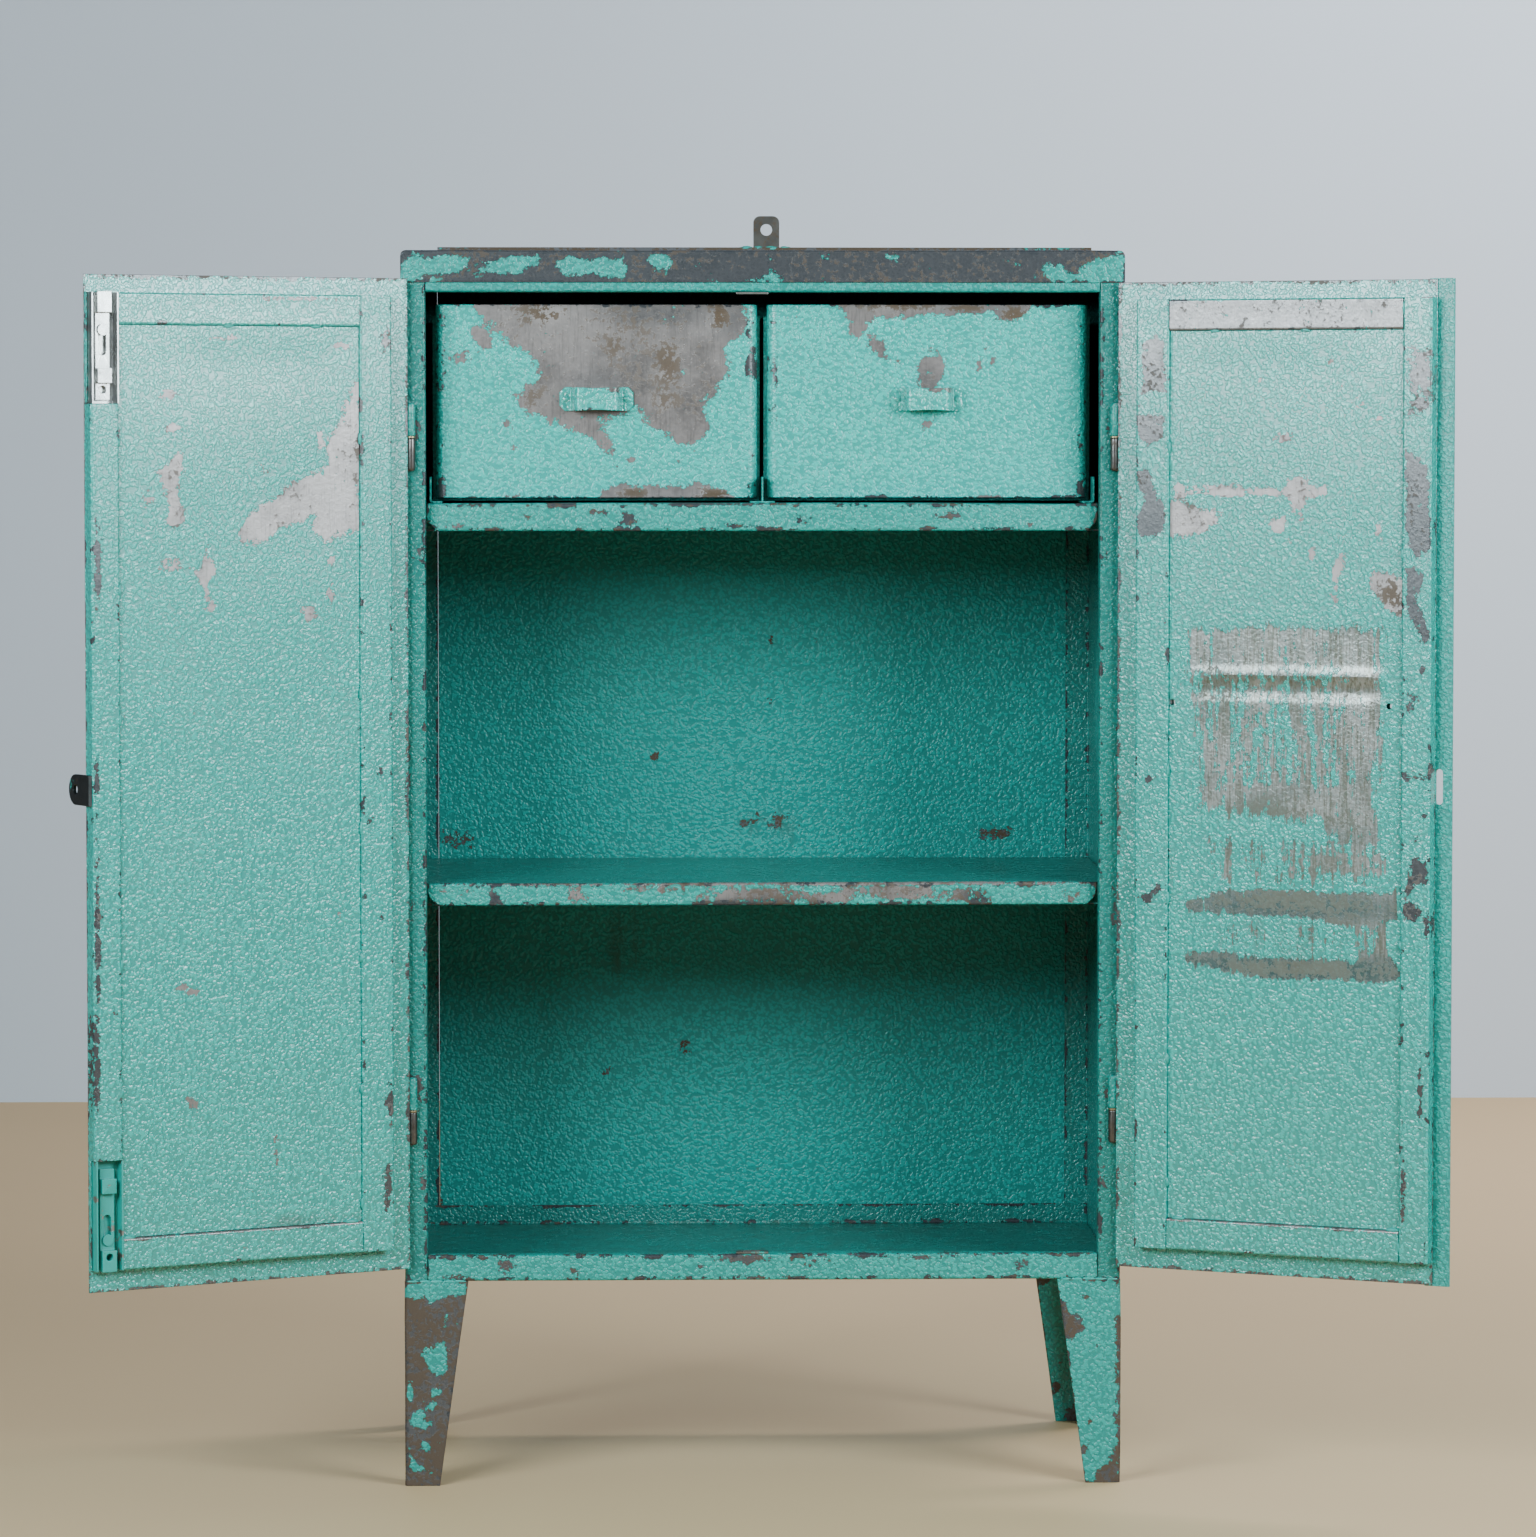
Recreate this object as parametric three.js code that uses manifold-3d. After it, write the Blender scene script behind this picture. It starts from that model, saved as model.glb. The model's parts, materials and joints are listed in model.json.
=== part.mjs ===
// Two-door steel filing cabinet on legs: folded sheet case, two drawers, one shelf.
// Millimetres, +Z up, front of the case faces -Y. The doors stand open at rest.
// Frame while building: x = 0 on the case centre, y = 0 on the front of the cap, z = 0 on the floor.
import * as THREE from "three";
import { mergeVertices } from "three/addons/utils/BufferGeometryUtils.js";
import Module from "manifold-3d";

const wasm = await Module();
wasm.setup();

// ---- Driving sizes ---------------------------------------------------------------------------
const CASE_WIDTH = 700;
const CASE_HEIGHT = 1200;
const CASE_DEPTH = 385;
const LEG_HEIGHT = 200;
const LEG_TOP_WIDTH = 62;
const LEG_FOOT_WIDTH = 34;
const LEG_THICKNESS = 2.5;
const LEG_PROUD = 0.5;
const SHEET = 1.5;
const SHEET_BEND = 3;
const CONTACT_GAP = 0.3;

const CAP_FLANGE = 31;
const CAP_CORNER_RADIUS = 5;
const JAMB_WIDTH = 22.2;
const JAMB_LIP = 15;
const REAR_RETURN = 25.2;
const HEADER_DROP = 9;
const HEADER_RETURN = 30;
const BACK_UPSTAND = 14;
const TAB_WIDTH = 26.6;
const TAB_THICKNESS = 5;
const TAB_RISE = 46;
const TAB_BELOW_TOP = 56;
const TAB_HOLE_DIAMETER = 12;
const TAB_OFFSET = 14.5;

const RAIL_HEIGHT = 25.5;
const RAIL_RETURN = 18;
const TRAY_SINK = 18;
const TRAY_BACK_RISE = 20;
const RAIL_LOWER_RETURN = 9;
const TRAY_NOTCH_CLEARANCE = 1;
const SHELF_OVER_TRAY = 379.2;
const SHELF_LIP = 22;
const SHELF_SETBACK = 18;
const SHELF_LIP_RETURN = 12;
const SHELF_ANGLE = 20;
const DECK_BELOW_TOP = 244;
const DECK_LIP = 27;
const RUNNER_HEIGHT = 25;
const RUNNER_FOOT = 12;
const RUNNER_SETBACK = 6;
const REAR_CLEARANCE = 12;

const DRAWER_SETBACK = 38;
const DRAWER_FACE_SIDE_GAP = 3.225;
const DRAWER_FACE_TOP_GAP = 11.7;
const DRAWER_FACE_DEPTH = 18;
const DRAWER_FACE_BEND = 9;
const DRAWER_FACE_RISE = 3.2;
const DRAWER_BOX_SETIN = 11;
const DRAWER_SIDE_STEP = 3;
const DRAWER_PLAY = 1;
const HANDLE_LENGTH = 71.8;
const HANDLE_WIDTH = 22.8;
const HANDLE_STAND = 18;
const HANDLE_TAB = 13;
const HANDLE_CHAMFER = 5;
const HANDLE_THICKNESS = 2;
const HANDLE_LEG_RUN = 4;
const HANDLE_OVER_CENTRE = 2;

const HINGE_INSET = 10;
const BARREL_DIAMETER = 8.5;
const BARREL_LENGTH = 66;
const UPPER_HINGE_BELOW_TOP = 180;
const LOWER_HINGE_OVER_DOOR_BOTTOM = 153;
const HINGE_PIN_DIAMETER = 4.5;
const HINGE_PIN_RISE = 24;
const HINGE_PIN_CLEARANCE = 0.08;
const WASHER_THICKNESS = 1.8;

const DOOR_THICKNESS = 15.5;
const DOOR_FRONT_GAP = 0.5;
const DOOR_OVER_CASE_BOTTOM = 13.7;
const LEFT_DOOR_BELOW_TOP = 27.5;
const RIGHT_DOOR_BELOW_TOP = 31;
const LEFT_DOOR_PAST_MIDDLE = 5;
const LEAF_GAP = 6;
const PAN_BOTTOM_RIM = 21.5;
const PAN_TOP_RIM = 17;
const PAN_HINGE_RIM = 24;
const HINGE_STILE_WIDTH = 34;
const LOCK_STILE_WIDTH = 29.3;
const STRIP_HEIGHT = 30;
const CHANNEL_BEND = 2;
const PANEL_RECESS = 3;
const LEFT_OPEN_DEG = 151;
const RIGHT_OPEN_DEG = 153;
const EDGE_STRIP_WIDTH = 25;
const EDGE_STRIP_LAP = 8.5;
const EDGE_STRIP_THICKNESS = 3;
const EDGE_STRIP_EXTRA = 1;
const PANEL_HOLE_DIAMETER = 6;
const PANEL_HOLE_FROM_HINGE = 61.5;
const PANEL_HOLE_FROM_FREE = 42.5;
const PANEL_HOLE_RISE = 551;

const STAPLE_HEIGHT = 29;
const STAPLE_PROJECTION = 30;
const STAPLE_THICKNESS = 3.5;
const STAPLE_HOLE_DIAMETER = 10;
const STAPLE_OVER_DOOR_BOTTOM = 475;
const STAPLE_SINK = 1;
const STAPLE_CLEARANCE = 2.5;
const STAPLE_SLOT_WIDTH = 7;

const BOLT_LENGTH = 104;
const BOLT_BODY_FLOOR = 3;
const BOLT_WALL_LEFT = 6;
const SLIDE_WIDTH = 15;
const SLIDE_PLATE = 4;
const SLIDE_TRAVEL = 15;
const SLIDE_SLOT_LENGTH = 28;
const SLIDE_SLOT_WIDTH = 8;
const STUD_CLEARANCE = 0.3;
const STUD_HEAD_DIAMETER = 11;
const SLIDE_HOLE_DIAMETER = 7;
const SLIDE_HOLE_FROM_END = 13;
const SLIDE_PROUD = 1;
const TIP_LAP = 1.3;
const TIP_SINK = 1;
const TIP_LENGTH = 20;
const TIP_OVER_PLATE = 4;
const GRIP_LENGTH = 14;
const TOP_BOLT = { slot: 59.3, tail: 3, grip: 26 };
const BOTTOM_BOLT = { slot: 38.5, tail: 96, grip: 80 };
const KEEPER_THICKNESS = 1.8;
const KEEPER_CLEARANCE = 1;
const KEEPER_WALL = 7;
const KEEPER_FRONT_MARGIN = 3;
const KEEPER_BACK_MARGIN = 4;
const SIDE_TOP_GAP = 1;
const OVERSHOOT = 1;

// ---- Positions that follow from the sizes ----------------------------------------------------
const halfCase = CASE_WIDTH / 2;
const sideX = halfCase - SHEET - CONTACT_GAP;
const sideInnerX = sideX - SHEET;
const frameFront = SHEET + CONTACT_GAP;
const openingX = sideX - JAMB_WIDTH;
const headerX = openingX - CONTACT_GAP;
const shelfX = sideInnerX - CONTACT_GAP;
const capUnder = CASE_HEIGHT - SHEET;
const caseBottom = LEG_HEIGHT + CONTACT_GAP;
const sideTop = CASE_HEIGHT - CAP_CORNER_RADIUS - SIDE_TOP_GAP;
const headerBottom = CASE_HEIGHT - CAP_FLANGE - HEADER_DROP;
const backFront = CASE_DEPTH - SHEET;
const rightReturnBack = backFront - CONTACT_GAP;
const insideBack = rightReturnBack - SHEET_BEND - CONTACT_GAP;
const backLeftEdge = -sideX + REAR_RETURN;
const railTop = caseBottom + RAIL_HEIGHT;
const trayTop = railTop - TRAY_SINK;
const shelfTop = trayTop + SHELF_OVER_TRAY;
const deckTop = CASE_HEIGHT - DECK_BELOW_TOP;

const barrelRadius = BARREL_DIAMETER / 2;
const hingeY = frameFront - CONTACT_GAP - barrelRadius;
const doorFront = -DOOR_FRONT_GAP - SHEET;
const edgeToAxis = Math.sqrt((barrelRadius + CONTACT_GAP) ** 2 - (doorFront - hingeY) ** 2);
const hingeX = halfCase - HINGE_INSET;
const doorEdgeX = hingeX - edgeToAxis;
const leftDoorWidth = doorEdgeX + LEFT_DOOR_PAST_MIDDLE;
const rightDoorWidth = doorEdgeX - LEFT_DOOR_PAST_MIDDLE - LEAF_GAP;
const doorBottom = caseBottom + DOOR_OVER_CASE_BOTTOM;
const leftDoorTop = CASE_HEIGHT - LEFT_DOOR_BELOW_TOP;
const rightDoorTop = CASE_HEIGHT - RIGHT_DOOR_BELOW_TOP;
const panBottom = doorBottom + PAN_BOTTOM_RIM;
const hingeCentres = { upper: CASE_HEIGHT - UPPER_HINGE_BELOW_TOP, lower: doorBottom + LOWER_HINGE_OVER_DOOR_BOTTOM };
const stapleCentre = doorBottom + STAPLE_OVER_DOOR_BOTTOM;
const skinInner = SHEET + CONTACT_GAP;

const boltBodyWidth = LOCK_STILE_WIDTH - SHEET - CONTACT_GAP;
const boltBodyEnd = leftDoorWidth - SHEET - CONTACT_GAP;
const boltX = boltBodyEnd - boltBodyWidth / 2 - doorEdgeX;
const plateLow = BOLT_BODY_FLOOR + SHEET + CONTACT_GAP;
const plateHigh = plateLow + SLIDE_PLATE;
const tipLow = plateHigh - TIP_LAP;
const tipHigh = DOOR_THICKNESS - TIP_SINK;
const tipFront = doorFront + tipLow;
const tipBack = doorFront + tipHigh;

// ---- Materials -------------------------------------------------------------------------------
const paint = (color, roughness = 0.45) => new THREE.MeshStandardMaterial({ color, roughness, metalness: 0.1 });
const steel = (color, roughness = 0.4) => new THREE.MeshStandardMaterial({ color, roughness, metalness: 0.9 });
const CASE_PAINT = paint(0x2f7f78);
const DOOR_PAINT = paint(0x7fc4bf);
const DRAWER_PAINT = paint(0x3f9389);
const INNER_PAINT = paint(0x1d4f4b, 0.6);
const WORN_STEEL = steel(0x6b6f70, 0.5);
const BRIGHT_STEEL = steel(0xb9bcbb, 0.3);
const DARK_STEEL = steel(0x3f3a36, 0.6);
const BRASS = steel(0xa98f5a, 0.5);

// ---- Geometry helpers ------------------------------------------------------------------------
const fromTriangles = (positions, index) => {
  const g = new THREE.BufferGeometry();
  g.setAttribute("position", new THREE.Float32BufferAttribute(positions, 3));
  g.setIndex(index);
  return g;
};

const clean = (geometry) => {
  const g = geometry.clone();
  for (const name of Object.keys(g.attributes)) {
    if (name !== "position") g.deleteAttribute(name);
  }
  return mergeVertices(g, 1e-4);
};

const toSolid = (geometry) => {
  const g = clean(geometry);
  const mesh = new wasm.Mesh({
    numProp: 3,
    vertProperties: new Float32Array(g.attributes.position.array),
    triVerts: new Uint32Array(g.index.array),
  });
  return new wasm.Manifold(mesh);
};

const fromSolid = (solid) => {
  const mesh = solid.getMesh();
  return fromTriangles(Array.from(mesh.vertProperties), Array.from(mesh.triVerts));
};

const join = (...geometries) => fromSolid(geometries.map(toSolid).reduce((a, b) => a.add(b)));
const cut = (geometry, ...tools) => fromSolid(tools.map(toSolid).reduce((a, b) => a.subtract(b), toSolid(geometry)));
const common = (a, b) => fromSolid(toSolid(a).intersect(toSolid(b)));

const flip = (geometry) => {
  const index = Array.from(geometry.index.array);
  for (let i = 0; i < index.length; i += 3) {
    [index[i], index[i + 1]] = [index[i + 1], index[i]];
  }
  geometry.setIndex(index);
  return geometry;
};

// Signed volume decides which way a closed surface faces.
const flipIfInside = (geometry) => {
  const p = geometry.attributes.position;
  const index = geometry.index.array;
  const a = new THREE.Vector3();
  const b = new THREE.Vector3();
  const c = new THREE.Vector3();
  let volume = 0;
  for (let i = 0; i < index.length; i += 3) {
    a.fromBufferAttribute(p, index[i]);
    b.fromBufferAttribute(p, index[i + 1]);
    c.fromBufferAttribute(p, index[i + 2]);
    volume += a.dot(b.cross(c));
  }
  return volume < 0 ? flip(geometry) : geometry;
};

// Closed box from its low and high corners.
const box = (x0, x1, y0, y1, z0, z1) => {
  const g = new THREE.BoxGeometry(Math.abs(x1 - x0), Math.abs(y1 - y0), Math.abs(z1 - z0));
  g.translate((x0 + x1) / 2, (y0 + y1) / 2, (z0 + z1) / 2);
  return clean(g);
};

// Extrudes a closed outline along an axis. The outline's two numbers are the other axes in xyz order.
const AXES = {
  x: new THREE.Matrix4().set(0, 0, 1, 0, 1, 0, 0, 0, 0, 1, 0, 0, 0, 0, 0, 1),
  y: new THREE.Matrix4().set(1, 0, 0, 0, 0, 0, 1, 0, 0, 1, 0, 0, 0, 0, 0, 1),
  z: new THREE.Matrix4(),
};
const prism = (outline, axis, from, to, holes = []) => {
  const shape = new THREE.Shape(outline.map(([u, v]) => new THREE.Vector2(u, v)));
  for (const hole of holes) {
    shape.holes.push(new THREE.Path(hole.map(([u, v]) => new THREE.Vector2(u, v))));
  }
  const g = new THREE.ExtrudeGeometry(shape, { depth: to - from, bevelEnabled: false, curveSegments: 1 });
  g.translate(0, 0, from);
  const solid = clean(g);
  solid.applyMatrix4(AXES[axis]);
  return AXES[axis].determinant() < 0 ? flip(solid) : solid;
};

const circle = (u, v, radius, steps = 32) =>
  Array.from({ length: steps }, (_, i) => {
    const angle = (2 * Math.PI * i) / steps;
    return [u + radius * Math.cos(angle), v + radius * Math.sin(angle)];
  });

// Straight slot with round ends, standing along the second coordinate.
const slotOutline = (u, v, width, length, steps = 12) => {
  const points = [];
  const reach = (length - width) / 2;
  for (let i = 0; i <= steps; i += 1) {
    const angle = (Math.PI * i) / steps;
    points.push([u + (width / 2) * Math.cos(angle), v + reach + (width / 2) * Math.sin(angle)]);
  }
  for (let i = 0; i <= steps; i += 1) {
    const angle = Math.PI + (Math.PI * i) / steps;
    points.push([u + (width / 2) * Math.cos(angle), v - reach + (width / 2) * Math.sin(angle)]);
  }
  return points;
};

// Rounds the inner corners of an open path.
const roundPath = (points, radius, steps = 5) => {
  const path = [points[0]];
  for (let i = 1; i < points.length - 1; i += 1) {
    const p = new THREE.Vector2(...points[i]);
    const a = new THREE.Vector2(...points[i - 1]).sub(p).normalize();
    const b = new THREE.Vector2(...points[i + 1]).sub(p).normalize();
    const half = Math.acos(THREE.MathUtils.clamp(a.dot(b), -1, 1)) / 2;
    const reach = radius / Math.tan(half);
    const centre = a.clone().add(b).normalize().multiplyScalar(radius / Math.sin(half)).add(p);
    const start = p.clone().addScaledVector(a, reach).sub(centre);
    const end = p.clone().addScaledVector(b, reach).sub(centre);
    const turn = Math.atan2(start.cross(end), start.dot(end));
    for (let k = 0; k <= steps; k += 1) {
      const arm = start.clone().rotateAround(new THREE.Vector2(), (turn * k) / steps);
      path.push([centre.x + arm.x, centre.y + arm.y]);
    }
  }
  path.push(points[points.length - 1]);
  return path;
};

// Outline of a folded sheet: the path is one face, the thickness lies to the right of travel.
const fold = (points, thickness = SHEET, radius = SHEET_BEND) => {
  const path = roundPath(points, radius);
  const other = path.map((point, i) => {
    const before = path[Math.max(i - 1, 0)];
    const after = path[Math.min(i + 1, path.length - 1)];
    const arrive = new THREE.Vector2(point[0] - before[0], point[1] - before[1]).normalize();
    const leave = new THREE.Vector2(after[0] - point[0], after[1] - point[1]).normalize();
    const first = i === 0 ? leave : arrive;
    const last = i === path.length - 1 ? arrive : leave;
    const normal = new THREE.Vector2(first.y + last.y, -first.x - last.x).normalize();
    const stretch = thickness / (normal.x * first.y - normal.y * first.x);
    return [point[0] + normal.x * stretch, point[1] + normal.y * stretch];
  });
  return [...path, ...other.reverse()];
};

const mirrorX = (geometry) => {
  const g = clean(geometry);
  g.scale(-1, 1, 1);
  return flip(g);
};

// Solid of revolution about a vertical line, from a closed profile of [radius, z].
const turned = (x, y, profile, steps = 32) => {
  const g = new THREE.LatheGeometry(profile.map(([r, z]) => new THREE.Vector2(r, z)), steps);
  g.rotateX(Math.PI / 2);
  g.translate(x, y, 0);
  const merged = clean(g);
  const index = Array.from(merged.index.array);
  const kept = [];
  for (let i = 0; i < index.length; i += 3) {
    const [a, b, c] = index.slice(i, i + 3);
    if (a !== b && b !== c && a !== c) kept.push(a, b, c);
  }
  merged.setIndex(kept);
  return merged;
};

// Solid between a lower and an upper outline with the same number of corners.
const loft = (lower, upper, z0, z1) => {
  const n = lower.length;
  const positions = [];
  for (const [u, v] of lower) positions.push(u, v, z0);
  for (const [u, v] of upper) positions.push(u, v, z1);
  const caps = THREE.ShapeUtils.triangulateShape(lower.map(([u, v]) => new THREE.Vector2(u, v)), []);
  const index = [];
  for (const [a, b, c] of caps) {
    index.push(c, b, a, a + n, b + n, c + n);
  }
  for (let i = 0; i < n; i += 1) {
    const j = (i + 1) % n;
    index.push(i, j, j + n, i, j + n, i + n);
  }
  return fromTriangles(positions, index);
};

// ---- Assembly --------------------------------------------------------------------------------
const cabinet = new THREE.Group();
cabinet.name = "filing_cabinet";

const add = (parent, name, geometry, material) => {
  const g = clean(geometry);
  g.computeVertexNormals();
  const mesh = new THREE.Mesh(g, material);
  mesh.name = name;
  parent.add(mesh);
  return mesh;
};

// ---- Case ------------------------------------------------------------------------------------
const addCap = () => {
  const arch = [
    [-halfCase, CASE_HEIGHT - CAP_FLANGE],
    [-halfCase, CASE_HEIGHT],
    [halfCase, CASE_HEIGHT],
    [halfCase, CASE_HEIGHT - CAP_FLANGE],
  ];
  const shell = prism(fold(arch, SHEET, CAP_CORNER_RADIUS), "y", 0, rightReturnBack);
  const front = prism(roundPath(arch, CAP_CORNER_RADIUS), "y", 0, SHEET);
  add(cabinet, "top_cap", join(shell, front), WORN_STEEL);
};

const keeperHole = (z0, z1) =>
  box(
    boltX - SLIDE_WIDTH / 2 - KEEPER_CLEARANCE,
    boltX + SLIDE_WIDTH / 2 + KEEPER_CLEARANCE,
    tipFront - KEEPER_CLEARANCE,
    tipBack + KEEPER_CLEARANCE,
    z0,
    z1,
  );

const addHeader = () => {
  const path = [
    [frameFront + HEADER_RETURN, headerBottom],
    [frameFront, headerBottom],
    [frameFront, capUnder - CONTACT_GAP],
  ];
  const rail = prism(fold(path), "x", -headerX, headerX);
  add(cabinet, "header_rail", cut(rail, keeperHole(headerBottom - OVERSHOOT, headerBottom + SHEET + OVERSHOOT)), CASE_PAINT);
};

const addSides = () => {
  const lip = frameFront + JAMB_LIP;
  const outline = (rear) => [
    [openingX, lip],
    [openingX, frameFront],
    [sideX, frameFront],
    [sideX, rear],
    [sideX - REAR_RETURN, rear],
  ];
  const wall = (rear) => {
    const path = outline(rear).reverse();
    return prism(fold(path), "z", caseBottom, sideTop);
  };
  add(cabinet, "right_side_panel", flipIfInside(wall(rightReturnBack)), CASE_PAINT);
  add(cabinet, "left_side_panel", mirrorX(flipIfInside(wall(CASE_DEPTH))), CASE_PAINT);
};

const addBack = () => {
  const panel = box(
    backLeftEdge + CONTACT_GAP,
    sideX + LEG_PROUD,
    backFront,
    CASE_DEPTH,
    caseBottom,
    CASE_HEIGHT + BACK_UPSTAND,
  );
  add(cabinet, "back_panel", panel, CASE_PAINT);
  const half = TAB_WIDTH / 2;
  const top = CASE_HEIGHT + TAB_RISE;
  const outline = roundPath(
    [
      [TAB_OFFSET, top - TAB_RISE - TAB_BELOW_TOP],
      [TAB_OFFSET + half, top - TAB_RISE - TAB_BELOW_TOP],
      [TAB_OFFSET + half, top],
      [TAB_OFFSET - half, top],
      [TAB_OFFSET - half, top - TAB_RISE - TAB_BELOW_TOP],
      [TAB_OFFSET, top - TAB_RISE - TAB_BELOW_TOP],
    ],
    TAB_WIDTH / 4,
  ).slice(0, -1);
  const hole = circle(TAB_OFFSET, top - TAB_HOLE_DIAMETER - 2, TAB_HOLE_DIAMETER / 2);
  const from = CASE_DEPTH + CONTACT_GAP;
  add(cabinet, "hanging_tab", prism(outline, "y", from, from + TAB_THICKNESS, [hole]), CASE_PAINT);
};

const addTray = () => {
  const inner = frameFront + RAIL_RETURN;
  const path = [
    [frameFront + RAIL_LOWER_RETURN, caseBottom],
    [frameFront, caseBottom],
    [frameFront, railTop],
    [inner, railTop],
    [inner, trayTop],
    [insideBack - SHEET, trayTop],
    [insideBack - SHEET, trayTop + TRAY_BACK_RISE],
  ];
  const tray = prism(fold(path), "x", -shelfX, shelfX);
  const cornerY = frameFront + JAMB_LIP + TRAY_NOTCH_CLEARANCE;
  const corners = [-1, 1].map((side) =>
    box(side * headerX, side * halfCase, -OVERSHOOT, cornerY, caseBottom - OVERSHOOT, railTop + OVERSHOOT),
  );
  const slot = keeperHole(railTop - SHEET - OVERSHOOT, railTop + OVERSHOOT);
  add(cabinet, "floor_tray", cut(tray, ...corners, slot), INNER_PAINT);
};

const shelfSheet = (top, lip) =>
  prism(
    fold([
      [SHELF_SETBACK + SHELF_LIP_RETURN, top - lip],
      [SHELF_SETBACK, top - lip],
      [SHELF_SETBACK, top],
      [insideBack, top],
      [insideBack, top - lip / 2],
    ]),
    "x",
    -shelfX,
    shelfX,
  );

const addShelf = () => {
  add(cabinet, "middle_shelf", shelfSheet(shelfTop, SHELF_LIP), CASE_PAINT);
  const top = shelfTop - SHEET - CONTACT_GAP;
  for (const [side, name] of [[-1, "left"], [1, "right"]]) {
    const path = [
      [shelfX, top - SHELF_ANGLE],
      [shelfX, top],
      [shelfX - SHELF_ANGLE, top],
    ];
    const angle = flipIfInside(
      prism(fold(path.reverse()), "y", SHELF_SETBACK + SHELF_LIP_RETURN + SHEET, insideBack - REAR_CLEARANCE),
    );
    add(cabinet, `${name}_shelf_angle`, side < 0 ? mirrorX(angle) : angle, INNER_PAINT);
  }
};

// ---- Drawers ---------------------------------------------------------------------------------
const addDeck = () => {
  add(cabinet, "drawer_deck", shelfSheet(deckTop, DECK_LIP), CASE_PAINT);
  const z0 = deckTop + CONTACT_GAP;
  const y0 = SHELF_SETBACK + RUNNER_SETBACK;
  const y1 = insideBack - REAR_CLEARANCE;
  for (const [side, name] of [[-1, "left"], [1, "right"]]) {
    const path = [
      [headerX - DRAWER_SIDE_STEP, z0 + RUNNER_HEIGHT],
      [headerX - DRAWER_SIDE_STEP, z0],
      [headerX - DRAWER_SIDE_STEP - RUNNER_FOOT, z0],
    ];
    const runner = flipIfInside(prism(fold(path), "y", y0, y1));
    add(cabinet, `${name}_runner`, side < 0 ? mirrorX(runner) : runner, INNER_PAINT);
  }
  const upright = box(-SHEET / 2, SHEET / 2, y0, y1, z0, z0 + RUNNER_HEIGHT);
  const foot = box(-RUNNER_FOOT, RUNNER_FOOT, y0, y1, z0, z0 + SHEET);
  add(cabinet, "centre_runner", join(upright, foot), INNER_PAINT);
};

const addDrawer = (name, side) => {
  const group = new THREE.Group();
  group.name = `${name}_drawer`;
  cabinet.add(group);
  const inner = SHEET / 2 + DRAWER_PLAY;
  const outer = headerX - DRAWER_SIDE_STEP - SHEET - DRAWER_PLAY;
  const x0 = side < 0 ? -outer : inner;
  const x1 = side < 0 ? -inner : outer;
  const faceMid = (x0 + x1) / 2;
  const fx0 = x0 + DRAWER_FACE_SIDE_GAP;
  const fx1 = x1 - DRAWER_FACE_SIDE_GAP;
  const boxBottom = deckTop + CONTACT_GAP + SHEET + CONTACT_GAP;
  const faceBottom = boxBottom + DRAWER_FACE_RISE;
  const faceTop = headerBottom - DRAWER_FACE_TOP_GAP;
  const faceBack = DRAWER_SETBACK + DRAWER_FACE_DEPTH;
  const wrap = prism(
    fold(
      [
        [fx0, faceBack],
        [fx0, DRAWER_SETBACK],
        [fx1, DRAWER_SETBACK],
        [fx1, faceBack],
      ].reverse(),
      SHEET,
      DRAWER_FACE_BEND,
    ),
    "z",
    faceBottom,
    faceTop,
  );
  const returns = [faceBottom, faceTop - SHEET].map((z) =>
    box(fx0 + DRAWER_FACE_BEND, fx1 - DRAWER_FACE_BEND, DRAWER_SETBACK + SHEET / 2, faceBack, z, z + SHEET),
  );
  add(group, `${name}_drawer_front`, join(flipIfInside(wrap), ...returns), DRAWER_PAINT);

  const boxFront = faceBack + CONTACT_GAP;
  const boxBack = insideBack - REAR_CLEARANCE;
  const boxTop = faceTop - DRAWER_BOX_SETIN;
  const tub = cut(
    box(x0, x1, boxFront, boxBack, boxBottom, boxTop),
    box(x0 + SHEET, x1 - SHEET, boxFront + SHEET, boxBack - SHEET, boxBottom + SHEET, boxTop + SHEET),
  );
  add(group, `${name}_drawer_box`, tub, CASE_PAINT);

  const half = HANDLE_LENGTH / 2;
  const foot = DRAWER_SETBACK - CONTACT_GAP;
  const shoulder = half - HANDLE_TAB;
  const strap = prism(
    fold(
      [
        [faceMid - half, foot],
        [faceMid - shoulder, foot],
        [faceMid - shoulder + HANDLE_LEG_RUN, foot - HANDLE_STAND],
        [faceMid + shoulder - HANDLE_LEG_RUN, foot - HANDLE_STAND],
        [faceMid + shoulder, foot],
        [faceMid + half, foot],
      ],
      HANDLE_THICKNESS,
    ),
    "z",
    -HANDLE_WIDTH / 2,
    HANDLE_WIDTH / 2,
  );
  const c = HANDLE_CHAMFER;
  const w = HANDLE_WIDTH / 2;
  const blank = prism(
    [
      [faceMid - half, c - w],
      [faceMid - half + c, -w],
      [faceMid + half - c, -w],
      [faceMid + half, c - w],
      [faceMid + half, w - c],
      [faceMid + half - c, w],
      [faceMid - half + c, w],
      [faceMid - half, w - c],
    ],
    "y",
    foot - HANDLE_STAND - HANDLE_WIDTH,
    foot + HANDLE_WIDTH,
  );
  const handle = common(flipIfInside(strap), blank);
  handle.translate(0, 0, (faceBottom + faceTop) / 2 + HANDLE_OVER_CENTRE);
  add(group, `${name}_drawer_handle`, handle, DRAWER_PAINT);
};

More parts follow.
